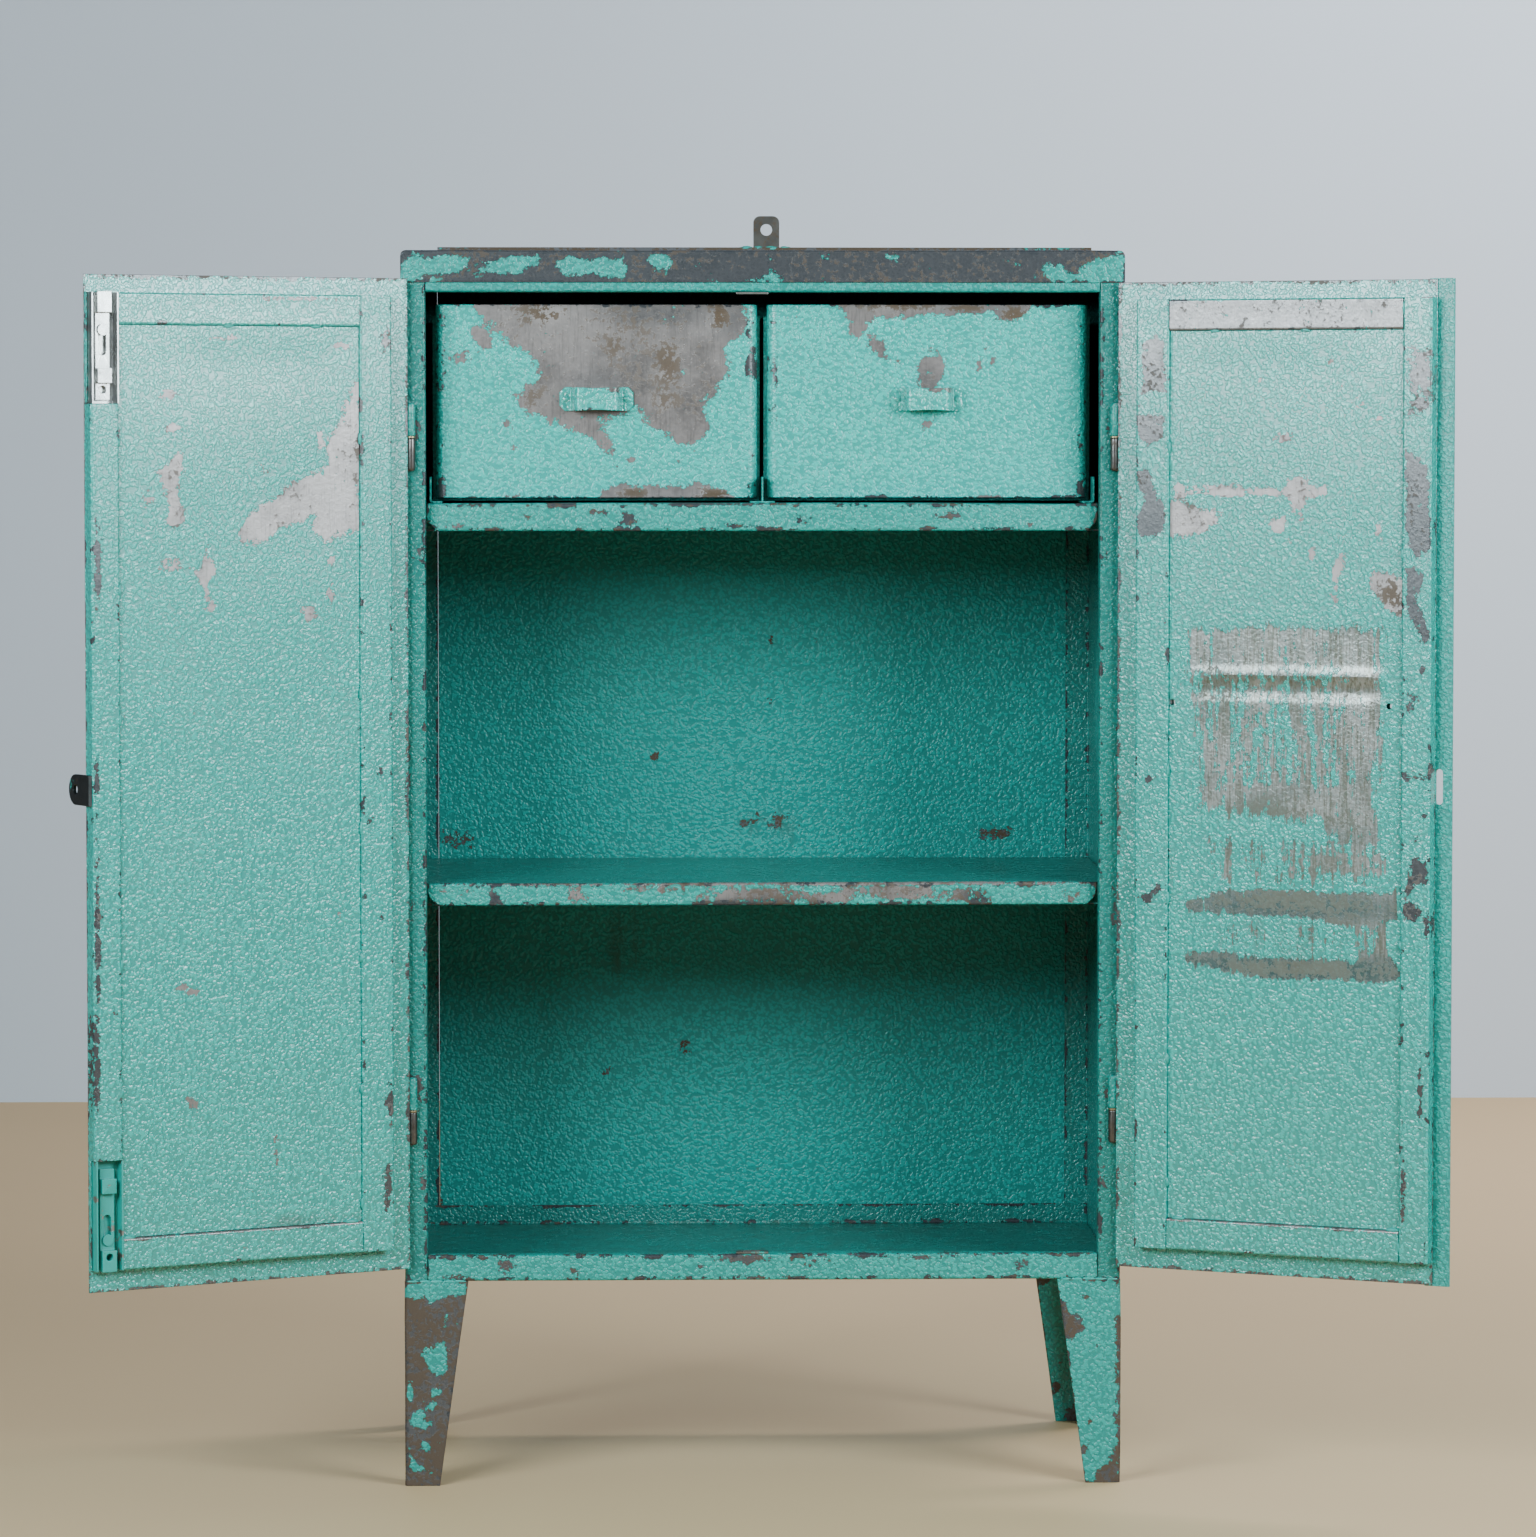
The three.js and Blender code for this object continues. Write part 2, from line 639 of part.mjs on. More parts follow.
// ---- Legs ------------------------------------------------------------------------------------
const addLegs = () => {
  const section = (width) =>
    fold(
      [
        [-width, 0],
        [0, 0],
        [0, width],
      ],
      -LEG_THICKNESS,
      SHEET_BEND,
    );
  const leg = flipIfInside(loft(section(LEG_FOOT_WIDTH), section(LEG_TOP_WIDTH), 0, LEG_HEIGHT));
  const x = sideX + LEG_PROUD;
  const front = clean(leg);
  front.translate(x, frameFront - LEG_PROUD, 0);
  const rear = clean(leg);
  rear.scale(1, -1, 1);
  flip(rear);
  rear.translate(x, CASE_DEPTH, 0);
  add(cabinet, "front_right_leg", front, CASE_PAINT);
  add(cabinet, "front_left_leg", mirrorX(front), CASE_PAINT);
  add(cabinet, "rear_right_leg", rear, CASE_PAINT);
  add(cabinet, "rear_left_leg", mirrorX(rear), CASE_PAINT);
};

// ---- Doors -----------------------------------------------------------------------------------
// A leaf is built closed. s runs from its hinge edge to its free edge, t from its outer face inwards.
const addLeaf = (name, side, width, top, openDeg) => {
  const hinge = new THREE.Group();
  hinge.name = `${name}_door`;
  hinge.position.set(side * hingeX, hingeY, 0);
  hinge.rotation.z = side * THREE.MathUtils.degToRad(openDeg);
  cabinet.add(hinge);
  const place = (geometry) => {
    const g = clean(geometry);
    g.scale(-1, 1, 1);
    flip(g);
    g.translate(doorEdgeX, doorFront, 0);
    const world = side < 0 ? mirrorX(g) : g;
    world.translate(-side * hingeX, -hingeY, 0);
    return world;
  };
  const put = (part, geometry, material) => add(hinge, `${name}_door_${part}`, place(geometry), material);
  const panTop = top - PAN_TOP_RIM;
  return { hinge, put, width, top, panTop };
};

const channelUpright = (s0, s1, z0, z1) =>
  flipIfInside(
    prism(
      fold(
        [
          [s0, skinInner],
          [s0, DOOR_THICKNESS],
          [s1, DOOR_THICKNESS],
          [s1, skinInner],
        ],
        SHEET,
        CHANNEL_BEND,
      ),
      "z",
      z0,
      z1,
    ),
  );

const channelLevel = (s0, s1, z0, z1) =>
  flipIfInside(
    prism(
      fold(
        [
          [skinInner, z1],
          [DOOR_THICKNESS, z1],
          [DOOR_THICKNESS, z0],
          [skinInner, z0],
        ],
        SHEET,
        CHANNEL_BEND,
      ),
      "x",
      s0,
      s1,
    ),
  );

const addLeafPanels = (leaf, panelHoles, bolts) => {
  const holes = panelHoles.map(([s, z]) => circle(s, z, PANEL_HOLE_DIAMETER / 2, 24));
  const plate = (s0, s1, z0, z1) => [
    [s0, z0],
    [s1, z0],
    [s1, z1],
    [s0, z1],
  ];
  const skin = prism(plate(0, leaf.width, doorBottom, leaf.top), "y", 0, SHEET, holes);
  leaf.put("skin", skin, DOOR_PAINT);
  const hingeStile = [PAN_HINGE_RIM, PAN_HINGE_RIM + HINGE_STILE_WIDTH];
  const lockStile = [leaf.width - LOCK_STILE_WIDTH, leaf.width];
  leaf.put("hinge_stile", channelUpright(...hingeStile, panBottom, leaf.panTop), DOOR_PAINT);
  let stile = channelUpright(...lockStile, panBottom, leaf.panTop);
  for (const [z0, z1] of bolts) {
    stile = cut(
      stile,
      box(0, leaf.width - SHEET - CONTACT_GAP / 2, 0, DOOR_THICKNESS + OVERSHOOT, z0, z1),
      box(0, leaf.width + OVERSHOOT, BOLT_WALL_LEFT, DOOR_THICKNESS + OVERSHOOT, z0, z1),
    );
  }
  leaf.put("lock_stile", stile, DOOR_PAINT);
  const s0 = hingeStile[1] + CONTACT_GAP;
  const s1 = lockStile[0] - CONTACT_GAP;
  leaf.put("top_strip", channelLevel(s0, s1, leaf.panTop - STRIP_HEIGHT, leaf.panTop), DOOR_PAINT);
  leaf.put("bottom_strip", channelLevel(s0, s1, panBottom, panBottom + STRIP_HEIGHT), DOOR_PAINT);
  const panelBottom = panBottom + STRIP_HEIGHT + CONTACT_GAP;
  const panelTop = leaf.panTop - STRIP_HEIGHT - CONTACT_GAP;
  const face = DOOR_THICKNESS - PANEL_RECESS;
  const panel = prism(plate(s0, s1, panelBottom, panelTop), "y", face - SHEET, face, holes);
  leaf.put("inner_panel", panel, DOOR_PAINT);
};

// Upper halves turn with the leaf, lower halves carry the pin and stay on the case.
const addHinges = (name, side, leaf) => {
  for (const [level, centre] of Object.entries(hingeCentres)) {
    const split = centre + WASHER_THICKNESS / 2;
    const high = centre + BARREL_LENGTH / 2;
    const low = centre - BARREL_LENGTH / 2;
    const pin = HINGE_PIN_DIAMETER / 2;
    const bore = pin + HINGE_PIN_CLEARANCE;
    const pinTop = split + HINGE_PIN_RISE;
    const socket = turned(0, 0, [
      [bore, split + CONTACT_GAP],
      [barrelRadius, split + CONTACT_GAP],
      [barrelRadius, high],
      [0, high],
      [0, pinTop + CONTACT_GAP],
      [bore, pinTop + CONTACT_GAP],
      [bore, split + CONTACT_GAP],
    ]);
    add(leaf.hinge, `${name}_door_${level}_barrel`, flipIfInside(socket), DOOR_PAINT);
    const washerBottom = split - WASHER_THICKNESS;
    const post = turned(side * hingeX, hingeY, [
      [0, low],
      [barrelRadius, low],
      [barrelRadius, washerBottom - CONTACT_GAP],
      [pin, washerBottom - CONTACT_GAP],
      [pin, pinTop],
      [0, pinTop],
      [0, low],
    ]);
    add(cabinet, `${name}_${level}_hinge_post`, flipIfInside(post), DARK_STEEL);
    const washer = turned(side * hingeX, hingeY, [
      [bore, washerBottom],
      [barrelRadius, washerBottom],
      [barrelRadius, split],
      [bore, split],
      [bore, washerBottom],
    ]);
    add(cabinet, `${name}_${level}_hinge_washer`, flipIfInside(washer), BRASS);
  }
};

// ---- Flush bolts on the passive leaf ---------------------------------------------------------
const addBolt = (leaf, name, z0, direction, along) => {
  const s1 = boltBodyEnd;
  const s0 = s1 - boltBodyWidth;
  const mid = (s0 + s1) / 2;
  const z1 = z0 + BOLT_LENGTH;
  const tray = flipIfInside(
    prism(
      fold(
        [
          [s0, DOOR_THICKNESS],
          [s0, BOLT_BODY_FLOOR],
          [s1, BOLT_BODY_FLOOR],
          [s1, DOOR_THICKNESS],
        ],
        -SHEET,
        CHANNEL_BEND,
      ),
      "z",
      z0,
      z1,
    ),
  );
  const slotMid = z0 + along.slot;
  const reach = (SLIDE_SLOT_LENGTH - SLIDE_SLOT_WIDTH) / 2;
  const studZ = slotMid + direction * (reach - STUD_CLEARANCE);
  const studRadius = SLIDE_SLOT_WIDTH / 2 - STUD_CLEARANCE;
  const neckFrom = BOLT_BODY_FLOOR + SHEET / 2;
  const headFrom = plateHigh + CONTACT_GAP;
  const neck = prism(circle(mid, studZ, studRadius, 24), "y", neckFrom, headFrom + SHEET / 2);
  const head = prism(circle(mid, studZ, STUD_HEAD_DIAMETER / 2, 24), "y", headFrom, headFrom + SHEET);
  leaf.put(`${name}_bolt_body`, join(tray, neck, head), BRIGHT_STEEL);

  const a = mid - SLIDE_WIDTH / 2;
  const b = mid + SLIDE_WIDTH / 2;
  const end = direction > 0 ? z1 + SLIDE_PROUD : z0 - SLIDE_PROUD;
  const block = (t0, t1, za, zb) => box(a, b, t0, t1, Math.min(za, zb), Math.max(za, zb));
  const plate = block(plateLow, plateHigh, z0 + along.tail, end - direction * TIP_OVER_PLATE);
  const tip = block(tipLow, tipHigh, end, end - direction * TIP_LENGTH);
  const gripMid = z0 + along.grip;
  const grip = block(tipLow, tipHigh, gripMid - GRIP_LENGTH / 2, gripMid + GRIP_LENGTH / 2);
  const slot = prism(slotOutline(mid, slotMid, SLIDE_SLOT_WIDTH, SLIDE_SLOT_LENGTH), "y", 0, plateHigh + OVERSHOOT);
  const holeMid = z0 + SLIDE_HOLE_FROM_END;
  const hole = prism(circle(mid, holeMid, SLIDE_HOLE_DIAMETER / 2, 24), "y", 0, DOOR_THICKNESS + OVERSHOOT);
  leaf.put(`${name}_bolt_slide`, cut(join(plate, tip, grip), slot, hole), BRIGHT_STEEL);
};

const addKeepers = () => {
  const half = SLIDE_WIDTH / 2 + KEEPER_CLEARANCE + KEEPER_WALL;
  const front = tipFront - KEEPER_FRONT_MARGIN;
  const back = tipBack + KEEPER_BACK_MARGIN;
  const keeper = (z0) =>
    cut(
      box(boltX - half, boltX + half, front, back, z0, z0 + KEEPER_THICKNESS),
      keeperHole(z0 - OVERSHOOT, z0 + KEEPER_THICKNESS + OVERSHOOT),
    );
  add(cabinet, "top_bolt_keeper", keeper(headerBottom - CONTACT_GAP - KEEPER_THICKNESS), WORN_STEEL);
  add(cabinet, "bottom_bolt_keeper", keeper(railTop + CONTACT_GAP), WORN_STEEL);
};

// ---- Padlock staple and the strip it passes through ------------------------------------------
const addStaple = (leaf) => {
  const half = STAPLE_HEIGHT / 2;
  const t0 = -STAPLE_PROJECTION;
  const t1 = DOOR_THICKNESS - STAPLE_SINK;
  const points = [[t1, stapleCentre - half]];
  points.push([t1, stapleCentre + half]);
  for (let i = 0; i <= 16; i += 1) {
    const angle = Math.PI / 2 + (Math.PI * i) / 16;
    points.push([t0 + half + half * Math.cos(angle), stapleCentre + half * Math.sin(angle)]);
  }
  const hole = circle(t0 + half, stapleCentre, STAPLE_HOLE_DIAMETER / 2, 24);
  const from = leaf.width + CONTACT_GAP;
  const plate = flipIfInside(prism(points.reverse(), "x", from, from + STAPLE_THICKNESS, [hole]));
  leaf.put("padlock_staple", plate, DARK_STEEL);
};

const addEdgeStrip = (leaf) => {
  const s0 = leaf.width - EDGE_STRIP_LAP;
  const s1 = s0 + EDGE_STRIP_WIDTH;
  const z0 = doorBottom - EDGE_STRIP_EXTRA;
  const z1 = leaf.top + EDGE_STRIP_EXTRA;
  const slot = slotOutline(
    leaf.width + CONTACT_GAP + STAPLE_SLOT_WIDTH / 2,
    stapleCentre,
    STAPLE_SLOT_WIDTH,
    STAPLE_HEIGHT + 2 * STAPLE_CLEARANCE,
  );
  const outline = [
    [s0, z0],
    [s1, z0],
    [s1, z1],
    [s0, z1],
  ];
  const back = -CONTACT_GAP;
  leaf.put("edge_strip", prism(outline, "y", back - EDGE_STRIP_THICKNESS, back, [slot]), DOOR_PAINT);
};

// ---- Build -----------------------------------------------------------------------------------
addCap();
addHeader();
addSides();
addBack();
addTray();
addShelf();
addDeck();
addLegs();
addDrawer("left", -1);
addDrawer("right", 1);

const leftPanTop = leftDoorTop - PAN_TOP_RIM;
const topBoltZ = leftPanTop - BOLT_LENGTH;
const boltRanges = [
  [panBottom - OVERSHOOT, panBottom + BOLT_LENGTH + CONTACT_GAP],
  [topBoltZ - CONTACT_GAP, leftPanTop + OVERSHOOT],
];
const leftLeaf = addLeaf("left", -1, leftDoorWidth, leftDoorTop, LEFT_OPEN_DEG);
addLeafPanels(leftLeaf, [], boltRanges);
addHinges("left", -1, leftLeaf);
addBolt(leftLeaf, "top", topBoltZ, 1, TOP_BOLT);
addBolt(leftLeaf, "bottom", panBottom, -1, BOTTOM_BOLT);
addStaple(leftLeaf);
addKeepers();

const panelHoles = [PANEL_HOLE_FROM_HINGE, rightDoorWidth - PANEL_HOLE_FROM_FREE].map((s) => [s, doorBottom + PANEL_HOLE_RISE]);
const rightLeaf = addLeaf("right", 1, rightDoorWidth, rightDoorTop, RIGHT_OPEN_DEG);
addLeafPanels(rightLeaf, panelHoles, []);
addHinges("right", 1, rightLeaf);
addEdgeStrip(rightLeaf);

// The origin is the middle of the footprint of everything, doors open, on the floor.
cabinet.updateMatrixWorld(true);
const bounds = new THREE.Box3().setFromObject(cabinet, true);
const centre = bounds.getCenter(new THREE.Vector3());
cabinet.position.set(-centre.x, -centre.y, -bounds.min.z);
cabinet.updateMatrixWorld(true);

export default cabinet;
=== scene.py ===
"""Looks of a worn two-door steel filing cabinet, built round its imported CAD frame."""

import json
import math

import bmesh
import bpy
import numpy as np
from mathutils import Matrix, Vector


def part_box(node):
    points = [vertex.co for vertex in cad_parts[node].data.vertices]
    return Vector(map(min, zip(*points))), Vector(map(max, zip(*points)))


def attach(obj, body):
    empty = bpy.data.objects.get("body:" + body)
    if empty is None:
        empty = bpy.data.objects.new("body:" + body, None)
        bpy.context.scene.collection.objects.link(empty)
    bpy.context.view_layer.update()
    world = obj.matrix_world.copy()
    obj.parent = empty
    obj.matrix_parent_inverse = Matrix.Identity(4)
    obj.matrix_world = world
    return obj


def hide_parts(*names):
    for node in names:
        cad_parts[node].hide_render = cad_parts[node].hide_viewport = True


bl_info = {
    "name": "Worn Steel Filing Cabinet",
    "version": (1, 0, 0),
    "blender": (4, 5, 0),
    "location": "View3D > Sidebar > Cabinet",
    "description": "Folded sheet surfaces, chipped hammered enamel and a plain stage for a steel cabinet",
    "category": "Object",
}

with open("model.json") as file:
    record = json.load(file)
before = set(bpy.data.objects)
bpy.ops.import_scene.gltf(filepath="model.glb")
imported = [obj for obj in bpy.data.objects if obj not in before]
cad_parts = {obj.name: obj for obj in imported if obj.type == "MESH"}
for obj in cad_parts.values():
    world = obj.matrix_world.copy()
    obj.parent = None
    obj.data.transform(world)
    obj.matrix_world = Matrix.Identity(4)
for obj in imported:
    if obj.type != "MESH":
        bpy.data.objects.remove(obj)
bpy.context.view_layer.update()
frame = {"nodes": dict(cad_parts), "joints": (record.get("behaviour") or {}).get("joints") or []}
JOINTS = {joint["name"]: joint for joint in frame["joints"]}
FOLD_STEPS = 6
SMOOTH_ANGLE = 38
BEAD_SMOOTH_ANGLE = 50
SIDES = {"left": -1, "right": 1}
CAP_CORNER = 0.005
JAMB_WIDTH = 0.0222
JAMB_LIP = 0.015
REAR_RETURN = 0.0252
HALF_OPENING = 0.3254
LIP_RETURN = 0.012
LIP_CORNER = 0.010
RAIL_HEIGHT = 0.0255
RAIL_DEPTH = 0.018
RAIL_RETURN = 0.009
FLOOR_SINK = 0.018
REAR_UPSTAND = 0.020
LEG_FOOT_WIDTH = 0.034
LEG_SHEET = 0.0025
LEG_FOLD = 0.0032
DRAWER_BEND = 0.009
HANDLE_TAB = 0.013
HANDLE_STRAP = 0.002
HANDLE_SLOPE = 0.004
LEAF_EDGE_FROM_PIN = 0.004488
LEAF_PROUD = 0.002
LEAF_PAST_MIDDLE = {"left": 0.005, "right": -0.011}
LEAF_DEPTH = 0.0155
HINGE_STILE = (0.024, 0.058)
LOCK_STILE_WIDTH = 0.0293
STRIP_HEIGHT = 0.030
PANEL_SINK = 0.003
SEAM = 0.0003
HOLE_RADIUS = 0.003
HOLE_RISE = 0.551
HOLE_FROM_HINGE_EDGE = 0.0615
HOLE_FROM_FREE_EDGE = 0.0425
BOLT_RECESS = 0.1043
PIN_RADIUS = 0.0022
BORE_RADIUS = 0.00233
# Maps the meshes carry: wear maps, and deep, which is painted shade on recessed and inward faces.
WEAR_AND_SHADE_MAPS = ("bare", "edge", "dark", "rust", "grime", "streak", "deep")


def low_high(node):
    """Corners of a CAD node as two arrays."""
    low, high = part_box(node)
    return np.array(low), np.array(high)


CAP_LOW, CAP_HIGH = low_high("top_cap")
CENTRE_X = (CAP_LOW[0] + CAP_HIGH[0]) / 2
FRONT_Y = CAP_LOW[1]


# ---- What a user may change ------------------------------------------------------------------


class CabinetShape(bpy.types.PropertyGroup):
    """Sizes of the sheet metal."""

    sheet: bpy.props.FloatProperty(
        name="Sheet", description="Thickness of the folded sheet", default=0.0015, unit="LENGTH"
    )
    fold: bpy.props.FloatProperty(
        name="Fold", description="Outside radius of a fold", default=0.0026, unit="LENGTH"
    )
    grid: bpy.props.FloatProperty(
        name="Grid", description="Spacing of the points on a sheet", default=0.006, unit="LENGTH"
    )
    waviness: bpy.props.FloatProperty(
        name="Waviness", description="How far an old sheet bows out of flat", default=0.0006, unit="LENGTH"
    )
    bead: bpy.props.FloatProperty(
        name="Bead", description="Length of a tack weld", default=0.010, unit="LENGTH"
    )


class CabinetFinish(bpy.types.PropertyGroup):
    """Colours of the enamel and the steel under it."""

    leaf: bpy.props.FloatVectorProperty(
        name="Leaves", description="Enamel inside the doors", default=(0.008, 0.345, 0.298), subtype="COLOR"
    )
    case: bpy.props.FloatVectorProperty(
        name="Case", description="Enamel of the case", default=(0.008, 0.285, 0.245), subtype="COLOR"
    )
    # Painted shade: a darker copy of the case enamel, standing in for the shade inside the case.
    inside: bpy.props.FloatVectorProperty(
        name="Inside", description="Enamel inside the case", default=(0.003, 0.270, 0.236), subtype="COLOR"
    )
    drawer: bpy.props.FloatVectorProperty(
        name="Drawers", description="Enamel of the drawer fronts", default=(0.012, 0.420, 0.368),
        subtype="COLOR",
    )
    bare: bpy.props.FloatVectorProperty(
        name="Bare steel", description="Dull steel where enamel is gone", default=(0.262, 0.232, 0.226),
        subtype="COLOR",
    )
    dark: bpy.props.FloatVectorProperty(
        name="Dark steel", description="Smooth dark steel of worn edges", default=(0.036, 0.040, 0.046),
        subtype="COLOR",
    )
    rust: bpy.props.FloatVectorProperty(
        name="Rust", description="Brown rust", default=(0.066, 0.038, 0.018), subtype="COLOR"
    )
    grain: bpy.props.FloatProperty(
        name="Hammer grain", description="Cells of the hammered enamel per metre", default=300.0, min=20.0
    )


# ---- Shader writing --------------------------------------------------------------------------


class Wire:
    """One socket of a node tree; arithmetic on it adds Math nodes."""

    def __init__(self, shader, socket):
        self.shader = shader
        self.socket = socket

    def _math(self, operation, *values):
        return self.shader.add("ShaderNodeMath", {"operation": operation}, dict(enumerate(values)))

    def __add__(self, other):
        return self._math("ADD", self, other)

    def __sub__(self, other):
        return self._math("SUBTRACT", self, other)

    def __rsub__(self, other):
        return self._math("SUBTRACT", other, self)

    def __mul__(self, other):
        return self._math("MULTIPLY", self, other)

    def maximum(self, other):
        return self._math("MAXIMUM", self, other)

    def minimum(self, other):
        return self._math("MINIMUM", self, other)

    def step(self, low, high):
        """Smooth rise from 0 at low to 1 at high."""
        return self.shader.add(
            "ShaderNodeMapRange",
            {"interpolation_type": "SMOOTHSTEP", "clamp": True},
            {"Value": self, "From Min": low, "From Max": high, "To Min": 0.0, "To Max": 1.0},
        )


class Shader:
    """A material and the one method that adds nodes to it."""

    def __init__(self, name):
        self.material = bpy.data.materials.new(name)
        self.material.use_nodes = True
        self.tree = self.material.node_tree
        self.surface = self.tree.nodes["Principled BSDF"]
        self.place = self.add("ShaderNodeTexCoord", {}, {}, "Object")

    def add(self, kind, settings, values, output=0):
        """Adds a node: settings first, then numbers or links for its sockets; returns one output."""
        node = self.tree.nodes.new(kind)
        for key, value in settings.items():
            setattr(node, key, value)
        for key, value in values.items():
            self.feed(node.inputs[key], value)
        return Wire(self, node.outputs[output])

    def feed(self, socket, value):
        """Links a wire to a socket, or sets its number or its colour, with 1 for a missing alpha."""
        if isinstance(value, Wire):
            self.tree.links.new(value.socket, socket)
        elif hasattr(value, "__len__"):
            values = [float(v) for v in value]
            size = len(socket.default_value)
            socket.default_value = (values + [1.0])[:size] if size > len(values) else values[:size]
        else:
            socket.default_value = value

    def mix(self, factor, first, second):
        """First colour at factor 0, second at factor 1."""
        node = self.tree.nodes.new("ShaderNodeMix")
        node.data_type = "RGBA"
        self.feed(node.inputs[0], factor)
        self.feed(node.inputs[6], first)
        self.feed(node.inputs[7], second)
        return Wire(self, node.outputs[2])

    def noise(self, scale, detail=3.0, rough=0.55, stretch=(1.0, 1.0, 1.0), shift=(0.0, 0.0, 0.0), warp=0.0):
        """Cloudy noise from 0 to 1; a small stretch along an axis draws it out into streaks."""
        where = self.place
        if stretch != (1.0, 1.0, 1.0) or shift != (0.0, 0.0, 0.0):
            where = self.add("ShaderNodeMapping", {}, {"Vector": where, "Scale": stretch, "Location": shift})
        values = {"Vector": where, "Scale": scale, "Detail": detail, "Roughness": rough, "Distortion": warp}
        return self.add("ShaderNodeTexNoise", {}, values, "Fac")

    def worn(self, name):
        """Map that the mesh carries under this name: a wear map, except deep, which holds painted shade."""
        return self.add("ShaderNodeAttribute", {"attribute_name": name}, {}, "Fac")

    def shine(self, **values):
        """Feeds the sockets of the surface, named with _ for a space."""
        for key, value in values.items():
            self.feed(self.surface.inputs[key.replace("_", " ")], value)

    def bump(self, height, strength, distance, below=None):
        values = {"Height": height, "Strength": strength, "Distance": distance}
        if below is not None:
            values["Normal"] = below
        return self.add("ShaderNodeBump", {}, values, "Normal")


def shade(colour, factor):
    """Colour made lighter or darker by a factor."""
    return tuple(min(max(c * factor, 0.0), 1.0) for c in colour)


